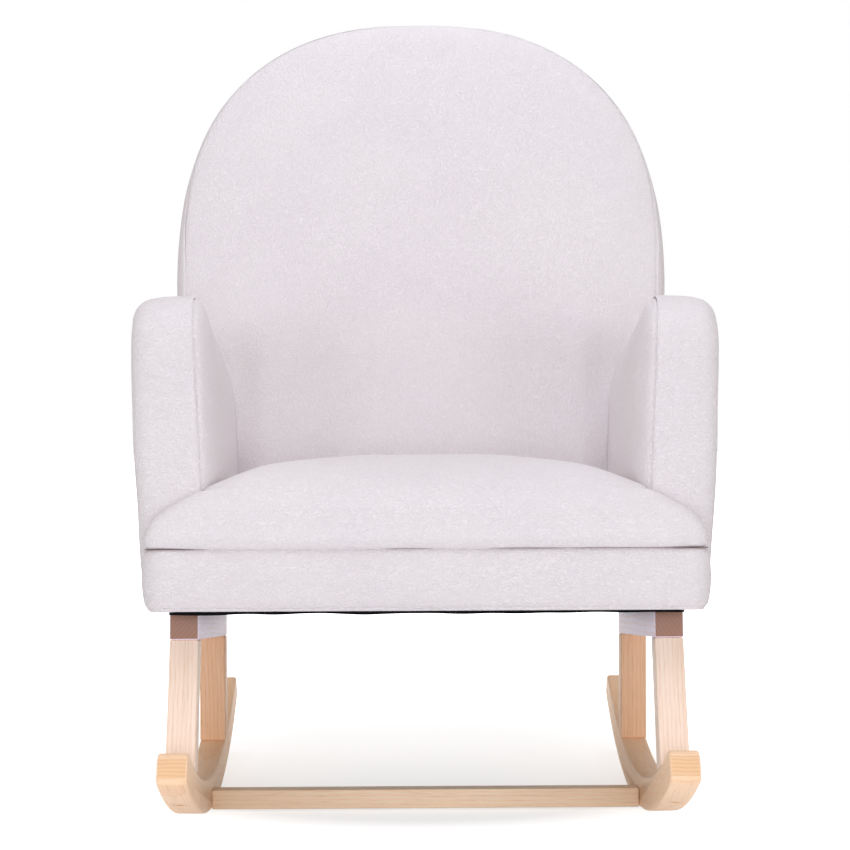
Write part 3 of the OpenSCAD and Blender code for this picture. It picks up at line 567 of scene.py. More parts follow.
def plain(name):
    """One of the plain finishes."""
    pale, dark, *rest = PLAIN_FINISHES[name]
    return finish_named(name, plain_finish, srgb(*pale), srgb(*dark), *rest)


def set_shader(finish, socket, value):
    """Changes one number of a finish's shader."""
    finish.node_tree.nodes["Principled BSDF"].inputs[socket].default_value = value
    return finish


def zinc_steel():
    """The plated steel of the bolts, the screws and the staples."""
    return set_shader(plain("zinc_steel"), "Metallic", 1.0)


# Settings


class ChairCloth(PropertyGroup):
    colour: FloatVectorProperty(
        name="Cloth colour", description="Colour of the looped fabric", subtype="COLOR",
        size=3, min=0, max=1, default=srgb(235, 227, 227),
    )
    relief: FloatProperty(
        name="Pile relief", description="Strength of the fabric's pebbled relief",
        default=0.72, min=0, max=1,
    )
    seam_depth: FloatProperty(
        name="Seam depth", description="How far a pad's edge turns in towards its seam",
        default=0.0022, min=0.0005, max=0.004, unit="LENGTH",
    )
    unevenness: FloatProperty(
        name="Unevenness", description="How far hand-laid padding strays from its shape",
        default=0.0012, min=0, max=0.004, unit="LENGTH",
    )


class ChairPadding(PropertyGroup):
    voxel: FloatProperty(
        name="Cushion mesh", description="Size of a face of the simulated cushion",
        default=0.0042, min=0.003, max=0.01, unit="LENGTH",
    )
    pressure: FloatProperty(
        name="Cushion pressure", description="Pressure inside the seat cushion",
        default=4.0, min=0, max=10,
    )
    cap: FloatProperty(
        name="Swell limit", description="How far the cushion may swell from its cut shape",
        default=0.006, min=0, max=0.02, unit="LENGTH",
    )
    slack: FloatProperty(
        name="Cut allowance", description="How much smaller the cushion is cut before it swells",
        default=0.0016, min=0, max=0.01, unit="LENGTH",
    )


class ChairWood(PropertyGroup):
    pale: FloatVectorProperty(
        name="Pale wood", description="Colour between the rings", subtype="COLOR",
        size=3, min=0, max=1, default=srgb(252, 227, 208),
    )
    ring: FloatVectorProperty(
        name="Ring wood", description="Colour of the rings", subtype="COLOR",
        size=3, min=0, max=1, default=srgb(246, 214, 189),
    )
    end: FloatVectorProperty(
        name="End grain", description="Colour of the sawn ends", subtype="COLOR",
        size=3, min=0, max=1, default=srgb(244, 205, 168),
    )
    edge: FloatProperty(
        name="Eased edge", description="Radius of the eased edges of the wooden pieces",
        default=0.0016, min=0.0003, max=0.003, unit="LENGTH",
    )


class ChairLining(PropertyGroup):
    colour: FloatVectorProperty(
        name="Lining colour", description="Colour of the lining under the seat",
        subtype="COLOR", size=3, min=0, max=1, default=srgb(7, 6, 9),
    )
    droop: FloatProperty(
        name="Droop", description="How far the lining's loose front edge hangs",
        default=0.0021, min=0, max=0.005, unit="LENGTH",
    )
    staples: IntProperty(
        name="Staples", description="Staples along the lining's edges",
        default=44, min=8, max=120,
    )


class ChairStage(PropertyGroup):
    key: FloatProperty(
        name="Front lights", description="Power of the three large soft lights in front",
        default=56, min=0,
    )
    top: FloatProperty(
        name="Top light", description="Power of the soft light overhead",
        default=38, min=0,
    )
    side: FloatProperty(
        name="Side lights", description="Power of each light at the side", default=4, min=0,
    )
    sky: FloatProperty(
        name="Surroundings", description="Strength of the light from all round",
        default=0.36, min=0,
    )
    lens: FloatProperty(
        name="Lens", description="Focal length of the camera in millimetres",
        default=88.1, min=20,
    )


class ChairSettings(PropertyGroup):
    cloth: PointerProperty(type=ChairCloth)
    padding: PointerProperty(type=ChairPadding)
    wood: PointerProperty(type=ChairWood)
    lining: PointerProperty(type=ChairLining)
    stage: PointerProperty(type=ChairStage)


def cloth_on(context, run):
    """The looped fabric with its pebbles drawn out along one run of the cloth."""
    cloth = context.scene.rocking_chair.cloth
    stretch = {"across": (0.75, 1.0, 1.2), "up": (1.2, 1.0, 0.75), "along": (1.0, 0.8, 1.15)}[run]
    return finish_named(
        "looped_fabric_" + run, looped_fabric, tuple(cloth.colour), cloth.relief, stretch, len(run)
    )


# The wooden base


def rounded_edges(shape, radius, wanted):
    """Rounds the sharp edges of a shape that a test wants."""
    shortest, sharp = 0.0022, math.radians(28)
    edges = [
        e for e in shape.edges
        if len(e.link_faces) == 2 and e.calc_length() > shortest
        and e.calc_face_angle(0) > sharp and wanted(e)
    ]
    bmesh.ops.bevel(
        shape, geom=edges, offset=radius, segments=4, profile=0.5, affect="EDGES",
        clamp_overlap=True,
    )


def eased_copy(node_name, radius, bent=False):
    """A copy of a CAD node's mesh, merged to its true faces, with its long edges eased.

    A bent one, a rail, has the clipped corners of its tips rounded first."""
    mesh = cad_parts[node_name].data.copy()
    shape = bmesh.new()
    shape.from_mesh(mesh)
    bmesh.ops.remove_doubles(shape, verts=shape.verts, dist=2e-6)
    bmesh.ops.dissolve_limit(
        shape, angle_limit=math.radians(0.4), verts=shape.verts, edges=shape.edges
    )
    if bent:
        tip_radius, wide = 0.009, 0.03
        across = lambda e: abs((e.verts[0].co - e.verts[1].co).normalized().x) > 0.98
        rounded_edges(shape, tip_radius, lambda e: across(e) and e.calc_length() > wide)
        radius *= 2.2
    rounded_edges(shape, radius, lambda e: True)
    shaded(mesh, shape, 35)
    return mesh


def lay_grain(mesh, straight, offset, curved=False):
    """Writes where each point lies in its board, and which faces are sawn ends."""
    centre = Vector((0, FLOOR_LINE / 1000, ROCKER_RADIUS / 1000))
    grain = mesh.attributes.new("grain", "FLOAT_VECTOR", "POINT")
    straight = Vector(straight).normalized()
    across = straight.orthogonal().normalized()
    third = straight.cross(across)
    for i, v in enumerate(mesh.vertices):
        if curved:
            arm = v.co - centre
            reach = math.hypot(arm.y, arm.z)
            place = Vector((math.atan2(arm.y, -arm.z) * 0.75, v.co.x, reach))
        else:
            place = Vector((v.co.dot(straight), v.co.dot(across), v.co.dot(third)))
        grain.data[i].vector = place + Vector(offset)
    ends = mesh.attributes.new("end_face", "FLOAT", "FACE")
    for i, face in enumerate(mesh.polygons):
        along = straight
        if curved:
            arm = face.center - centre
            along = Vector((0, -arm.z, arm.y)).normalized()
        ends.data[i].value = 1.0 if abs(face.normal.dot(along)) > 0.86 else 0.0


class CHAIR_OT_base(Operator):
    """Make the rails, legs, bearers and crossbar of oiled wood with eased edges"""

    bl_idname = "chair.base"
    bl_label = "Wooden base"

    def execute(self, context):
        wood = context.scene.rocking_chair.wood
        given = [tuple(c) for c in (wood.pale, wood.ring, wood.end)]
        as_given = (1.0, 1.0, 1.0)
        # The cast of each board's sides, and that of its sawn ends
        casts_and_painted_light = {
            "rocker_rail": ((1.04, 0.9, 0.72), (0.97, 0.9, 0.78)),
            "front_leg": (as_given, as_given),
            # Rear legs darker and warmer than the front ones: painted shade from the seat above
            # them.
            "rear_leg": ((0.88, 0.68, 0.5), as_given),
            # Bearers' lilac sides: painted reflection of the cloth and painted light on their
            # shaded inner sides; their sawn ends are much darker.
            "seat_bearer": ((1.0, 1.12, 1.6), (0.34, 0.25, 0.25)),
            "crossbar": ((1.1, 0.99, 0.85), as_given),
        }
        finishes = {}
        for stem, (board, sawn) in casts_and_painted_light.items():
            toned = [
                tuple(min(1, a * b) for a, b in zip(colour, cast))
                for colour, cast in zip(given, (board, board, sawn))
            ]
            finishes[stem] = finish_named("oiled_wood_" + stem, oiled_wood, *toned)
        lean, tilt = math.radians(LEG_LEAN), math.radians(SEAT_TILT)
        runs = {
            "rocker_rail": (0, 1, 0),
            "front_leg": (0, math.sin(lean), math.cos(lean)),
            "rear_leg": (0, 0, 1),
            "seat_bearer": (0, math.cos(tilt), -math.sin(tilt)),
        }
        for stem, run in runs.items():
            for k, side in enumerate(("left", "right")):
                name = f"{stem}_{side}"
                mesh = eased_copy(name, wood.edge, stem == "rocker_rail")
                seed = 0.31 * k + 0.17 * len(stem)
                middle = (0.5 - k) * (2 * RAIL_HALF_GAP + RAIL_WIDTH) / 1000
                beside = middle if stem == "rocker_rail" else 0.031 + 0.02 * k
                lay_grain(mesh, run, (seed, beside, 0.043), stem == "rocker_rail")
                piece(name + "_eased", mesh, "light_wood", finishes[stem], name)
        mesh = eased_copy("crossbar", wood.edge)
        lay_grain(mesh, (1, 0, 0), (0.4, 0.05, 0.03))
        piece("crossbar_eased", mesh, "light_wood", finishes["crossbar"], "crossbar")
        return {"FINISHED"}


class CHAIR_OT_fasteners(Operator):
    """Finish the screws, bolts, washers, tee nuts and dowels"""

    bl_idname = "chair.fasteners"
    bl_label = "Fasteners"

    def execute(self, context):
        for name in ("bearer_bolts", "bearer_washers", "tee_nuts", "frame_screws"):
            dress(name, zinc_steel())
        for name in ("leg_dowels", "crossbar_dowels"):
            dress(name, plain("beech_dowel"))
        # The leg screws are dark, as painted shade in their recesses.
        dress("leg_screws", plain("blackened_steel"))
        return {"FINISHED"}


def dress(name, finish):
    """Gives a CAD node that keeps its shape a finish."""
    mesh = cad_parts[name].data
    mesh.materials.clear()
    mesh.materials.append(finish)


class CHAIR_OT_inner_frame(Operator):
    """Finish the boards inside the padding and string the webbing"""

    bl_idname = "chair.inner_frame"
    bl_label = "Inner frame and webbing"

    def execute(self, context):
        board = plain("frame_board")
        for side in ("_left", "_right"):
            dress("seat_side_rail" + side, board)
            dress("back_post" + side, board)
            mesh = eased_copy("arm_panel" + side, 0.006)
            piece("arm_panel_eased" + side, mesh, "frame_wood", board, "arm_panel" + side)
        for name in (
            "seat_front_rail", "seat_rear_rail", "corner_blocks", "back_arch",
            "back_bottom_rail", "back_lumbar_rail",
        ):
            dress(name, board)
        dress("back_stiffener", plain("hardboard"))
        strap = finish_named("webbing_weave", woven_strap, srgb(206, 200, 188), srgb(150, 142, 130))
        wide, thick = STRAP_WIDTH, STRAP_THICK
        pitch = (2 * RAIL_HALF_GAP - wide) / 5
        strung(
            "webbing_lengthwise", strap, IN_SEAT, 5, (-2 * pitch, 191, 62.2), (pitch, 0, 0),
            (wide, 340, thick), "seat_webbing_lengthwise",
        )
        front, rear = 48, 332
        pitch = (rear - front) / 4
        strung(
            "webbing_crosswise", strap, IN_SEAT, 4, (0, front + pitch / 2, 64.5), (0, pitch, 0),
            (490, wide, thick), "seat_webbing_crosswise",
        )
        low = BACK_LOW + 40
        pitch = (BACK_SPRING - low) / 5
        strung(
            "webbing_back", strap, IN_BACK, 5, (0, 13.6, low + wide / 2), (0, 0, pitch),
            (550, thick, wide), "back_webbing",
        )
        return {"FINISHED"}


def tree_with(name, *sockets):
    """A geometry node tree with named inputs and one geometry output."""
    tree = bpy.data.node_groups.new(name, "GeometryNodeTree")
    tree.interface.new_socket("Geometry", in_out="OUTPUT", socket_type="NodeSocketGeometry")
    for label, kind in sockets:
        tree.interface.new_socket(label, in_out="INPUT", socket_type="NodeSocket" + kind)
    return tree, node(tree, "NodeGroupInput").outputs


def as_shown(shape):
    """The mesh of an object with its modifiers."""
    bpy.context.view_layer.update()
    depsgraph = bpy.context.evaluated_depsgraph_get()
    return bpy.data.meshes.new_from_object(shape.evaluated_get(depsgraph))


def grown(name, tree, values):
    """Runs a geometry node tree on an empty mesh and returns the mesh that it makes."""
    holder = linked(name, bpy.data.meshes.new(name))
    modifier = holder.modifiers.new(name, "NODES")
    modifier.node_group = tree
    for item in tree.interface.items_tree:
        if item.in_out == "INPUT" and item.name in values:
            modifier[item.identifier] = values[item.name]
    mesh = as_shown(holder)
    bpy.data.objects.remove(holder)
    return mesh


def copies(tree, points, block, finish, **turned):
    """Ends a tree with copies of a block on points, made real and given their finish."""
    values = {"Points": points, "Instance": block.outputs[0], **turned}
    spread = node(tree, "GeometryNodeInstanceOnPoints", values)
    real = node(tree, "GeometryNodeRealizeInstances", {"Geometry": spread.outputs[0]})
    values = {"Geometry": real.outputs[0], "Material": finish}
    dressed = node(tree, "GeometryNodeSetMaterial", values)
    node(tree, "NodeGroupOutput", {"Geometry": dressed.outputs[0]})
    return tree


def strap_row():
    """A tree for a row of straps, each a thin block."""
    if "strap_row" in bpy.data.node_groups:
        return bpy.data.node_groups["strap_row"]
    tree, given = tree_with(
        "strap_row", ("Count", "Int"), ("First", "Vector"), ("Step", "Vector"),
        ("Size", "Vector"), ("Finish", "Material"),
    )
    line = node(
        tree, "GeometryNodeMeshLine",
        {"Count": given["Count"], "Start Location": given["First"], "Offset": given["Step"]},
        mode="OFFSET",
    )
    block = node(
        tree, "GeometryNodeMeshCube",
        {"Size": given["Size"], "Vertices X": 9, "Vertices Y": 9, "Vertices Z": 5},
    )
    return copies(tree, line.outputs[0], block, given["Finish"])


def in_metres(matrix):
    """A frame of the chair with its place in metres."""
    place = matrix.copy()
    place.translation = matrix.translation / 1000
    return place


def strung(name, finish, matrix, count, first, step, size, cad_node):
    """Straps in a row, given in millimetres in a frame of the chair."""
    values = {"Count": count, "Finish": finish}
    for label, vector in (("First", first), ("Step", step), ("Size", size)):
        values[label] = tuple(c / 1000 for c in vector)
    mesh = grown(name, strap_row(), values)
    mesh.transform(in_metres(matrix))
    return piece(name, mesh, "webbing", finish, cad_node)


# The seat


def crown_profile(inset):
    """Shares of the plan and heights from the cushion's rim to its crown."""
    rises = np.concatenate([np.linspace(0, 0.16, 9)[1:], np.linspace(0.16, 0.985, 34)[1:]])
    rise_power, plan_power = 1 / 0.535, 2.3
    shares = (1 - rises ** rise_power) ** (1 / plan_power)
    crown = CROWN_RISE + CROWN_PROUD - inset
    return [(s, SEAM_HEIGHT + RIM_RISE + crown * r) for r, s in zip(rises, shares)]


def cut_away(shape, matrix, corner, size):
    """Takes a block, given in millimetres in a frame of the chair, out of an object."""
    mesh = bpy.data.meshes.new("cutter")
    block = bmesh.new()
    bmesh.ops.create_cube(block, size=1)
    for v in block.verts:
        spot = [corner[k] + (v.co[k] + 0.5) * size[k] for k in range(3)]
        v.co = Vector(placed([spot], matrix)[0])
    bmesh.ops.recalc_face_normals(block, faces=block.faces)
    block.to_mesh(mesh)
    block.free()
    cutter = linked("cutter", mesh)
    modifier = shape.modifiers.new("cut", "BOOLEAN")
    modifier.operation = "DIFFERENCE"
    modifier.object = cutter
    modifier.solver = "EXACT"
    settle(shape)
    bpy.data.objects.remove(cutter)


def settle(shape):
    """Applies an object's modifiers to its mesh."""
    old, shape.data = shape.data, as_shown(shape)
    shape.modifiers.clear()
    bpy.data.meshes.remove(old)


def remeshed(shape, voxel):
    """Gives an object even faces of one size, and smooths them a little."""
    modifier = shape.modifiers.new("voxels", "REMESH")
    modifier.mode = "VOXEL"
    modifier.voxel_size = voxel
    settle(shape)
    modifier = shape.modifiers.new("even", "SMOOTH")
    modifier.factor = 0.5
    modifier.iterations = 3
    settle(shape)


CUSHION_FRAMES = 20
CUSHION_CLOTH = {
    "quality": 5, "mass": 0.35, "tension_stiffness": 18, "compression_stiffness": 18,
    "shear_stiffness": 6, "bending_stiffness": 1.2, "use_pressure": True,
}


def inflated(shape, pressure, cap, freedom):
    """Lets a closed shape swell as cloth under pressure, up to a cap, where freedom allows."""
    start = np.array([v.co for v in shape.data.vertices])
    cloth = shape.modifiers.new("cloth", "CLOTH")
    for name, value in CUSHION_CLOTH.items():
        setattr(cloth.settings, name, value)
    cloth.settings.uniform_pressure_force = pressure
    cloth.settings.effector_weights.gravity = 0
    cloth.collision_settings.use_collision = False
    cloth.point_cache.frame_start = 1
    cloth.point_cache.frame_end = CUSHION_FRAMES
    scene = bpy.context.scene
    for step in range(1, CUSHION_FRAMES + 1):
        scene.frame_set(step)
    depsgraph = bpy.context.evaluated_depsgraph_get()
    swollen = shape.evaluated_get(depsgraph).to_mesh()
    moved_to = np.array([v.co for v in swollen.vertices])
    shape.modifiers.clear()
    scene.frame_set(1)
    move = moved_to - start
    size = np.linalg.norm(move, axis=1, keepdims=True)
    limit = cap * freedom(start)[:, None]
    move *= np.minimum(1, limit / np.maximum(size, 1e-9))
    for v, d in zip(shape.data.vertices, move):
        v.co += Vector(d)


def cushion_freedom(points):
    """Full where the cushion is open, none where arms, back and frame hold it."""
    points = points * 1000
    height = turned_by(points, IN_SEAT.inverted())[:, 2]
    free = ramped(height, SEAM_HEIGHT + 2, SEAM_HEIGHT + 30)
    free *= ramped(-turned_by(points, IN_BACK.inverted())[:, 1], 10, 34)
    for side in (-1, 1):
        q = turned_by(points, in_arm(side).inverted())
        beside = np.maximum(ramped(-q[:, 0], 3, 80), ramped(ARM_FRONT - q[:, 1], 2, 14))
        free *= beside
    return free


class CHAIR_OT_seat(Operator):
    """Make the domed seat cushion, swollen against the arms and the back"""

    bl_idname = "chair.seat"
    bl_label = "Seat cushion"

    def execute(self, context):
        padding = context.scene.rocking_chair.padding
        slack = padding.slack * 1000
        rings = [
            cushion_ring(15, 1, WEB_TOP + 0.5),
            cushion_ring(15, 1, SEAM_HEIGHT - 0.6),
            cushion_ring(4.2 + slack, 1, SEAM_HEIGHT - 0.2),
            cushion_ring(1.2 + slack, 1, SEAM_HEIGHT + 2.6),
            cushion_ring(slack, 1, SEAM_HEIGHT + RIM_RISE),
        ] + [cushion_ring(slack, share, z) for share, z in crown_profile(slack)]
        rings = [placed(ring, IN_SEAT) for ring in rings]
        cushion = linked("seat_cushion", ring_mesh("seat_cushion", rings))
        for side in (-1, 1):
            cut_away(cushion, in_arm(side), (-1.6, ARM_FRONT - 0.4, -400), (900, 1200, 1200))
        cut_away(cushion, IN_BACK, (-900, -8.5, -600), (1800, 900, 1800))
        remeshed(cushion, padding.voxel)
        inflated(cushion, padding.pressure, padding.cap, cushion_freedom)
        mesh = cushion.data
        bpy.data.objects.remove(cushion)
        soften(mesh, context.scene.rocking_chair.cloth.unevenness, 0.09, 3)
        tidy(mesh, 70)
        made = piece(
            "seat_cushion", mesh, "pile_fabric", cloth_on(context, "across"),
            "seat_cover", "seat_foam",
        )
        return {"FINISHED"}


def covered(context, name, rings, sharp, run, nodes=(), laid=None):
    """A piece of fabric through rings, laid with a share of the unevenness, a size and a seed."""
    mesh = ring_mesh(name, rings, sharp)
    if laid:
        share, size, seed = laid
        soften(mesh, context.scene.rocking_chair.cloth.unevenness * share, size, seed)
    return piece(name, mesh, "pile_fabric", cloth_on(context, run), *nodes)


class CHAIR_OT_apron(Operator):
    """Make the padded apron round the front of the seat, and the cloth turned under the frame"""

    bl_idname = "chair.apron"
    bl_label = "Apron"

    def execute(self, context):
        outside = smooth_line(
            [(14, 3.4), (9.8, 3), (5.8, 5), (2.4, 11), (0.2, 24), (-0.8, 38), (-0.4, 54),
             (0.2, 62), (1.6, 67.2), (4.4, 69.8), (9, 70.2)], 44,
        )
        inside = [(12, 64), (14, 40), (14, 12)]
        made = covered(
            context, "seat_apron", apron_rings(np.vstack([outside, inside])), 50, "across",
            ("apron_cover", "apron_foam"), (0.8, 0.07, 5),
        )
        self.turnings(context)
        self.seam()
        return {"FINISHED"}

    def seam(self):
        """The dark brown cord in the seam between the cushion and the apron, a painted shade of the
        seam's groove.
        """
        thick, inset, height = 0.55, 2.4, SEAM_HEIGHT - 0.5
        turns = np.linspace(0, 2 * math.pi, 8, endpoint=False)
        loop = [(inset + thick * math.cos(t), height + thick * math.sin(t)) for t in turns]
        mesh = ring_mesh("seat_painted_seam_shadow", apron_rings(loop)[1:-1], 60)
        piece("seat_painted_seam_shadow", mesh, "pile_fabric", plain("seam_thread"))

    def turnings(self, context):
        """The covers' margins, turned under the seat frame along its front and sides."""
        loop = [(7.4, 6), (7.2, 3.6), (7.8, 2), (9.2, 1.1), (12, 0.85), (40, 0.85), (40, 1.15),
                (13, 1.15), (11, 2), (10.6, 6)]
        covered(context, "cover_turnings", apron_rings(loop, 420), 50, "across")


# The arms


def pad_rings(rim, middle, depth_at, sheet, count=34):
    """Rings of a pad from its middle out to its rim and back along its hidden side.

    Each is a flat outline with the depth of the pad's face at that share of the rim."""
    shares = np.concatenate([np.linspace(0.04, 0.9, count), np.linspace(0.9, 1, 16)[1:]])
    front = [(middle + (rim - middle) * s, depth_at(s)) for s in shares]
    behind = [(middle + (rim - middle) * s, depth_at(1.0) + sheet) for s in (0.99, 0.6, 0.1)]
    return front + behind


class CHAIR_OT_arms(Operator):
    """Make each arm's front band, swelling inner pad and outer panel"""

    bl_idname = "chair.arms"
    bl_label = "Arms"

    def execute(self, context):
        deep = context.scene.rocking_chair.cloth.seam_depth * 1000
        for side, name in ((-1, "left"), (1, "right")):
            matrix = in_arm(side)
            self.band(context, matrix, name, side)
            rim = arm_outline(ARM_SEAM, ARM_TUCK - 30)
            middle = np.array([ARM_FRONT + 190, ARM_TUCK + 80])
            rings = [
                placed(np.column_stack([self.pad_face(o, deep) + x, o]), matrix)
                for o, x in pad_rings(rim, middle, lambda s: 0, 3)
            ]
            made = covered(
                context, "arm_pad_" + name, rings, 60, "up", ["arm_inner_cover_" + name],
                (1, 0.1, 7 + side),
            )
            rim = arm_outline(ARM_PANEL_EDGE, hem_height(ARM_THICK, LEAN))
            middle = np.array([ARM_FRONT + 165, 170])
            face = lambda s: ARM_THICK - 0.4 - rolled(s, 0.97, 1.5)
            rings = [
                placed(np.column_stack([x + self.belly(o[:, 1]), o]), matrix)
                for o, x in pad_rings(rim, middle, face, -2.5)
            ]
            covered(
                context, "arm_panel_cover_" + name, rings, 60, "along",
                ["arm_outer_cover_" + name], (0.5, 0.12, 11 + side),
            )
            self.rear_turning(context, matrix, name)
        return {"FINISHED"}

    def rear_turning(self, context, matrix, name):
        """The outer cover's rear margin, turned over the arm's end beside the back."""
        top = arm_outline(ARM_SEAM, 0)[:, 1].max() - 45
        loop = [(44, 0.3), (58, 0.3), (70.6, 0.3), (71.2, 1.0), (70.6, 1.8), (58, 1.8), (44, 1.8)]
        rake = math.tan(RAKE)
        rings = [
            placed([
                (x + self.belly(z) * ramped(x, 44, 70) - 1, ARM_REAR + rake * z + away, z)
                for x, away in loop
            ], matrix)
            for z in np.linspace(hem_height(ARM_THICK, LEAN) + 1.5, top, 40)
        ]
        covered(context, "arm_rear_turning_" + name, rings, 50, "up")

    def belly(self, heights):
        """How far the padding of the outer side bulges at some heights, and turns in at the hem."""
        heights = np.asarray(heights, float)
        bulge = 4.5 * np.sin(math.pi * np.clip(heights / 335, 0, 1)) ** 0.8
        return bulge - 10 * (1 - rounding(heights - HEM, 15))

    def pad_face(self, flat, deep):
        """Where the inner pad's face lies: full up to the back, round at its seams and its tuck."""
        y, z = flat[:, 0] - ARM_CORNER_Y, flat[:, 1] - ARM_CORNER_Z
        under_top = ARM_ROUND - (z + y * math.tan(FALL)) * math.cos(FALL)
        behind_front = y + ARM_ROUND
        corner = ARM_ROUND - np.hypot(y, z)
        edge = np.where((y < 0) & (z > 0), corner, np.minimum(under_top, behind_front))
        within = edge - ARM_SEAM
        full = rounding(within, 75) * ramped(flat[:, 1], ARM_TUCK - 36, ARM_TUCK + 10)
        return deep * (1 - rounding(within, 12)) - ARM_SWELL * full

    def band(self, context, matrix, name, side):
        """The band round the arm's front and top, from its inner seam to its outer one."""
        outside = smooth_line(
            [(7.5, 6), (4.6, 3.4), (2.4, 1.4), (1.0, 2.6), (0.3, 6), (0, 13), (-0.4, 27),
             (0.2, 43), (2.8, 57), (9.4, 66.6), (16.6, 71.0), (20.4, 71.8), (22.4, 70.4),
             (24, 67)], 64,
        )
        inside = [(24, 55), (16, 48), (12, 36), (12, 16)]
        loop = np.vstack([outside, inside])
        lines = [arm_outline(inset, hem_height(x, LEAN), closed=False) for inset, x in loop]
        outward = ramped(loop[:, 1], 30, 66)
        rings = [
            placed([
                (x + share * self.belly(line[i][1]), *line[i])
                for line, (_, x), share in zip(lines, loop, outward)
            ], matrix)
            for i in range(len(lines[0]))
        ]
        made = covered(
            context, "arm_band_cover_" + name, rings, 50, "across",
            ("arm_band_" + name, "arm_foam_" + name), (1, 0.08, 17 + side),
        )


# The back


class CHAIR_OT_back(Operator):
    """Make the back's front pad, edge band and rear panel"""

    bl_idname = "chair.back"
    bl_label = "Back"

    def execute(self, context):
        deep = context.scene.rocking_chair.cloth.seam_depth * 1000
        self.edge(context)
        middle = np.array([0, (BACK_LOW + BACK_LENGTH) / 2])
        panel_swell = 2.5
        rim = back_seam_line(BACK_SEAM, BACK_LOW)
        face = lambda s: -BACK_SWELL * (1 - s**4) + rolled(s, 0.985, deep * 0.5)
        rings = [
            placed(np.column_stack([o[:, 0], self.pad_depth(o, y, rim), o[:, 1]]), IN_BACK)
            for o, y in pad_rings(rim, middle, face, 3, 60)
        ]
        made = covered(
            context, "back_pad", rings, 60, "up", ["back_front_cover"], (1, 0.12, 29)
        )
        rim = back_outline(BACK_PANEL_EDGE, hem_height(BACK_THICK, RAKE))
        face = lambda s: (
            BACK_THICK - 0.3 + panel_swell * (1 - s * s) ** 2 - rolled(s, 0.985, 1.6)
        )
        rings = [
            placed(np.insert(o, 1, y, axis=1), IN_BACK)
            for o, y in pad_rings(rim, middle, face, -2, 60)
        ]
        covered(
            context, "back_panel_cover", rings, 60, "up", ["back_rear_cover"], (0.6, 0.12, 29)
        )
        return {"FINISHED"}

    def edge(self, context):
        """The band round the back's edge, from its front seam to its rear one."""
        outside = smooth_line(
            [(20, 7), (17.8, 4), (16.2, 1.7), (14.4, 0.9), (12.2, 1.8), (9.4, 4.2), (6.3, 8),
             (3.2, 14), (1.2, 22), (0, 38), (-0.3, 50), (0.2, 62), (3, 73), (6.4, 78),
             (9, 79.8), (11, 79), (12.5, 76)], 64,
        )
        inside = [(13, 66), (11, 50), (11, 30), (14, 16)]
        loop = np.vstack([outside, inside])
        lines = [
            (back_seam_line if y < 40 else back_outline)(inset, hem_height(y, RAKE), closed=False)
            for inset, y in loop
        ]
        turned = ARCH_ROLL * (1 - ramped(loop[:, 1], 8, 44))
        rings = [
            placed([
                (line[i][0], y + roll * arch_share(line[i][1]), line[i][1])
                for line, (_, y), roll in zip(lines, loop, turned)
            ], IN_BACK)
            for i in range(len(lines[0]))
        ]
        made = covered(
            context, "back_edge_cover", rings, 50, "along", ("back_band_cover", "back_foam"),
            (0.8, 0.09, 23),
        )

    def pad_depth(self, outline, depth, rim):
        """The front pad's depth: rolled over the arch's edge, pressed in where the arms meet it."""
        within = np.linalg.norm(rim - outline, axis=1)
        rolled_over = ARCH_ROLL * arch_share(rim[:, 1]) * (1 - rounding(within, 38))
        beside = ramped(np.abs(outline[:, 0]), 205, 243) * (1 - ramped(outline[:, 1], 330, 385))
        return depth + beside * (max(depth, -2.6) - depth) + rolled_over


# The lining under the seat


def staple_row():
    """A tree for staples along a closed rectangle, each turned along it."""
    tree, given = tree_with(
        "staple_row", ("Width", "Float"), ("Length", "Float"), ("Count", "Int"),
        ("Staple", "Vector"), ("Finish", "Material"),
    )
    path = node(
        tree, "GeometryNodeCurvePrimitiveQuadrilateral",
        {"Width": given["Width"], "Height": given["Length"]},
    )
    values = {"Curve": path.outputs[0], "Count": given["Count"]}
    spread = node(tree, "GeometryNodeCurveToPoints", values).outputs
    wire = node(tree, "GeometryNodeMeshCube", {"Size": given["Staple"], "Vertices X": 4})
    return copies(tree, spread["Points"], wire, given["Finish"], Rotation=spread["Rotation"])


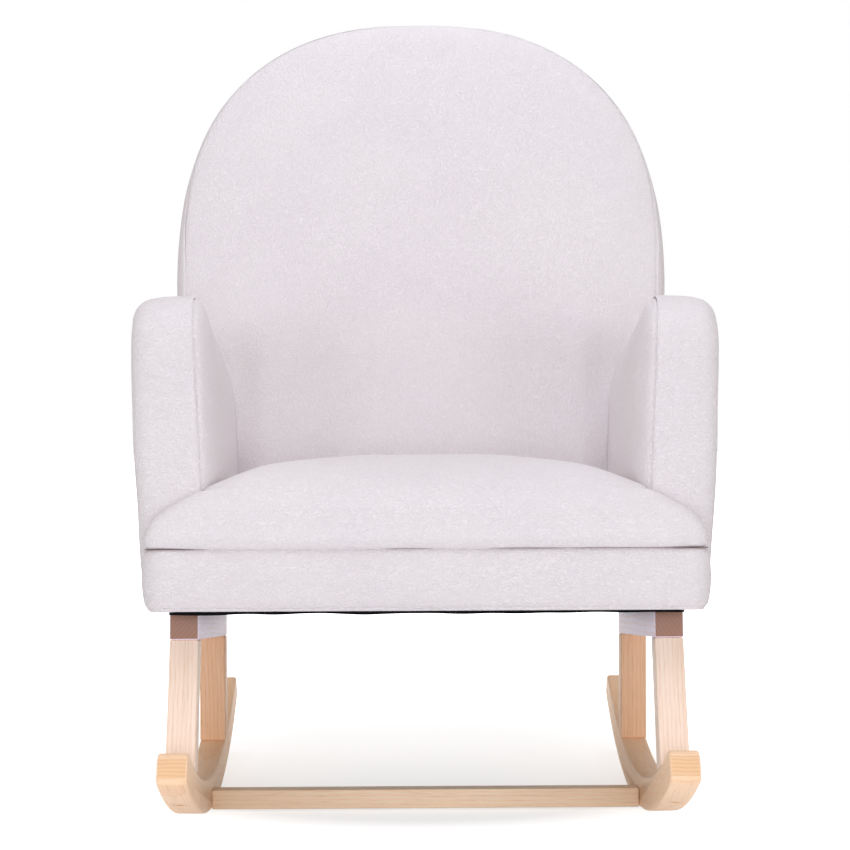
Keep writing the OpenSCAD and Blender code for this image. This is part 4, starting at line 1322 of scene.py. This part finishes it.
class CHAIR_OT_lining(Operator):
    """Make the black lining under the seat, with its loose front edge and its staples"""

    bl_idname = "chair.lining"
    bl_label = "Lining"

    def execute(self, context):
        lining = context.scene.rocking_chair.lining
        finish = finish_named(
            "lining_cloth", plain_finish, tuple(lining.colour), shade_of(lining.colour, 0.5),
            (1, 1, 1), 700, 0.9, 0.5,
        )
        set_shader(finish, "Specular IOR Level", 0.1)
        half, front, rear = LINING_HALF, LINING_FRONT, LINING_REAR
        columns, rows, lip = 150, 66, 6
        top, bottom = [], []
        for step in range(lip):
            hang = 1 - step / (lip - 1)
            for x in np.linspace(-half, half, columns):
                wave = 0.8 + 0.7 * noise.noise(Vector((x / 46, 3.1, 0.4))) - x / half * 0.2
                z = LINING_LIP - (LINING_LIP + lining.droop * 1000 * wave) * hang
                y = front + self.corner(x, half)
                top.append((x, y + 0.7, z))
                bottom.append((x, y, z))
        for y in np.linspace(front + 2.4, rear, rows - lip):
            length_share = ramped(np.array(min(y - 50, 420 - y)), 0, 80)
            for x in np.linspace(-half, half, columns):
                belly = 0.6 * max(0, 1 - (x / 240) ** 2) * length_share
                spot = (x, max(y, front + 2.4 + self.corner(x, half)))
                top.append((*spot, 0.75 - belly))
                bottom.append((*spot, 0.1 - belly))
        shift = len(top)
        faces = []
        for r in range(rows - 1):
            for a in range(r * columns, (r + 1) * columns - 1):
                face = (a, a + 1, a + 1 + columns, a + columns)
                faces += [face, tuple(i + shift for i in face[:1] + face[:0:-1])]
        rim = list(range(columns))
        rim += [r * columns + columns - 1 for r in range(1, rows)]
        rim += [(rows - 1) * columns + c for c in range(columns - 2, -1, -1)]
        rim += [r * columns for r in range(rows - 2, 0, -1)]
        for a, b in zip(rim, rim[1:] + rim[:1]):
            faces.append((a, b, b + shift, a + shift))
        mesh = bpy.data.meshes.new("seat_lining")
        mesh.from_pydata(placed(top + bottom, IN_SEAT).tolist(), [], faces)
        tidy(mesh, 60)
        made = piece("seat_lining", mesh, "black_lining", finish, "dust_cover")
        steel = zinc_steel()
        mesh = grown("lining_staples", staple_row(), {
            "Width": 0.564, "Length": 0.36, "Count": lining.staples,
            "Staple": (0.0011, 0.0007, 0.0106), "Finish": steel,
        })
        mesh.transform(in_metres(IN_SEAT @ moved(0, 240, -0.5)))
        piece("lining_staples", mesh, "fastener_steel", steel)
        return {"FINISHED"}

    def corner(self, x, half):
        """How far the lining's front edge runs back at its rounded corners."""
        into = max(0, abs(x) - (half - LINING_CORNER)) / LINING_CORNER
        return LINING_CORNER * (1 - math.sqrt(max(0, 1 - into * into)))


# The stage


def in_picture(tree):
    """1 for what the camera sees, also in gloss and through glass, and 0 for light that falls."""
    path = node(tree, "ShaderNodeLightPath").outputs
    seen = maths(tree, "ADD", path["Is Camera Ray"], path["Is Glossy Ray"])
    return maths(tree, "ADD", seen, path["Is Transmission Ray"], use_clamp=True)


class CHAIR_OT_stage(Operator):
    """Set up the floor, the soft lights and the camera"""

    bl_idname = "chair.stage"
    bl_label = "Stage"

    def execute(self, context):
        stage = context.scene.rocking_chair.stage
        scene = context.scene
        scene.view_settings.view_transform = "Standard"
        self.floor()
        self.world(scene, stage)
        cool, pale = (0.8, 0.87, 1.0), (0.82, 0.885, 1.0)
        for lamp in (
            ("front_light", (0, -3.4, 0.6), (1.6, 1.0), stage.key * 0.5, pale),
            ("left_box", (-1.9, -2.8, 0.62), (1.1, 1.1), stage.key * 0.31, pale),
            ("right_box", (1.9, -2.8, 0.62), (1.1, 1.1), stage.key * 0.31, pale),
            ("top_light", (0, -0.2, 2.7), (2.2, 2.2), stage.top, cool),
            ("left_light", (-2.4, -0.6, 0.8), (1.8, 1.4), stage.side, cool),
            ("right_light", (2.4, -0.6, 0.8), (1.8, 1.4), stage.side, pale),
        ):
            self.lamp(*lamp)
        data = bpy.data.cameras.new("camera")
        data.lens = stage.lens
        data.sensor_width = 36
        camera = linked("camera", data)
        camera.location = CAMERA_PLACE
        camera.rotation_euler = [math.radians(angle) for angle in CAMERA_TURN]
        camera.rotation_euler.rotate_axis("Z", math.radians(CAMERA_ROLL))
        scene.camera = camera
        return {"FINISHED"}

    def floor(self):
        """A floor that takes the chair's shadow near by and is plain white further off."""
        reach = 14
        corners = [(-reach, -reach, 0), (reach, -reach, 0), (reach, reach, 0), (-reach, reach, 0)]
        mesh = bpy.data.meshes.new("floor")
        mesh.from_pydata(corners, [], [(0, 1, 2, 3)])
        mesh.materials.append(bpy.data.materials.new("pale_floor"))
        tree = bare_tree(mesh.materials[0])
        lit = node(tree, "ShaderNodeBsdfDiffuse", {"Color": (0.92, 0.92, 0.92, 1)}).outputs[0]
        place = node(tree, "ShaderNodeTexCoord").outputs["Object"]
        away = node(
            tree, "ShaderNodeVectorMath", {0: place, 1: (0.0, 0.22, 0.0)}, operation="DISTANCE"
        ).outputs["Value"]
        share = node(
            tree, "ShaderNodeMapRange",
            {"Value": away, "From Min": 0.35, "From Max": 0.75, "To Min": 0.275, "To Max": 1.0},
        ).outputs[0]
        share = maths(tree, "MULTIPLY", in_picture(tree), share)
        white = node(tree, "ShaderNodeEmission", {"Color": (1, 1, 1, 1), "Strength": 2.3})
        both = node(tree, "ShaderNodeMixShader", {0: share, 1: lit, 2: white.outputs[0]})
        node(tree, "ShaderNodeOutputMaterial", {"Surface": both.outputs[0]})
        floor = linked("floor", mesh)

    def world(self, scene, stage):
        """Surroundings that light the chair warmly and are plain white in the picture."""
        scene.world = bpy.data.worlds.new("surroundings")
        tree = bare_tree(scene.world)
        warm, white = (
            node(tree, "ShaderNodeBackground", {"Color": colour, "Strength": strength}).outputs[0]
            for colour, strength in (((1.0, 0.88, 0.73, 1), stage.sky), ((1, 1, 1, 1), 1.0))
        )
        both = node(tree, "ShaderNodeMixShader", {0: in_picture(tree), 1: warm, 2: white})
        node(tree, "ShaderNodeOutputWorld", {"Surface": both.outputs[0]})

    def lamp(self, name, place, size, power, colour):
        """A soft rectangular light, turned to the middle of the chair."""
        data = bpy.data.lights.new(name, "AREA")
        data.shape = "RECTANGLE"
        data.size, data.size_y = size
        data.energy, data.color = power, colour
        lamp = linked(name, data)
        lamp.location = place
        aim = Vector((0, 0, 0.45)) - Vector(place)
        lamp.rotation_euler = aim.to_track_quat("-Z", "Y").to_euler()


MAKERS = (
    CHAIR_OT_stage, CHAIR_OT_base, CHAIR_OT_fasteners, CHAIR_OT_inner_frame, CHAIR_OT_seat,
    CHAIR_OT_apron, CHAIR_OT_arms, CHAIR_OT_back, CHAIR_OT_lining,
)


class CHAIR_PT_makers(Panel):
    """The chair's pieces and the settings that they are made with"""

    bl_idname = "CHAIR_PT_makers"
    bl_label = "Rocking chair"
    bl_space_type = "VIEW_3D"
    bl_region_type = "UI"
    bl_category = "Rocking chair"

    def draw(self, context):
        settings = context.scene.rocking_chair
        for maker in MAKERS:
            self.layout.operator(maker.bl_idname)
        for part in ("cloth", "padding", "wood", "lining", "stage"):
            group = getattr(settings, part)
            box = self.layout.box()
            for name in group.bl_rna.properties.keys():
                if name not in ("rna_type", "name"):
                    box.prop(group, name)


CLASSES = (
    ChairCloth, ChairPadding, ChairWood, ChairLining, ChairStage, ChairSettings, *MAKERS,
    CHAIR_PT_makers,
)


def register():
    for made in CLASSES:
        bpy.utils.register_class(made)
    bpy.types.Scene.rocking_chair = PointerProperty(type=ChairSettings)


def unregister():
    del bpy.types.Scene.rocking_chair
    for made in reversed(CLASSES):
        bpy.utils.unregister_class(made)


def main():
    """Makes every piece in order."""
    register()
    for maker in MAKERS:
        group, name = maker.bl_idname.split(".")
        getattr(getattr(bpy.ops, group), name)()


if __name__ == "__main__":
    main()
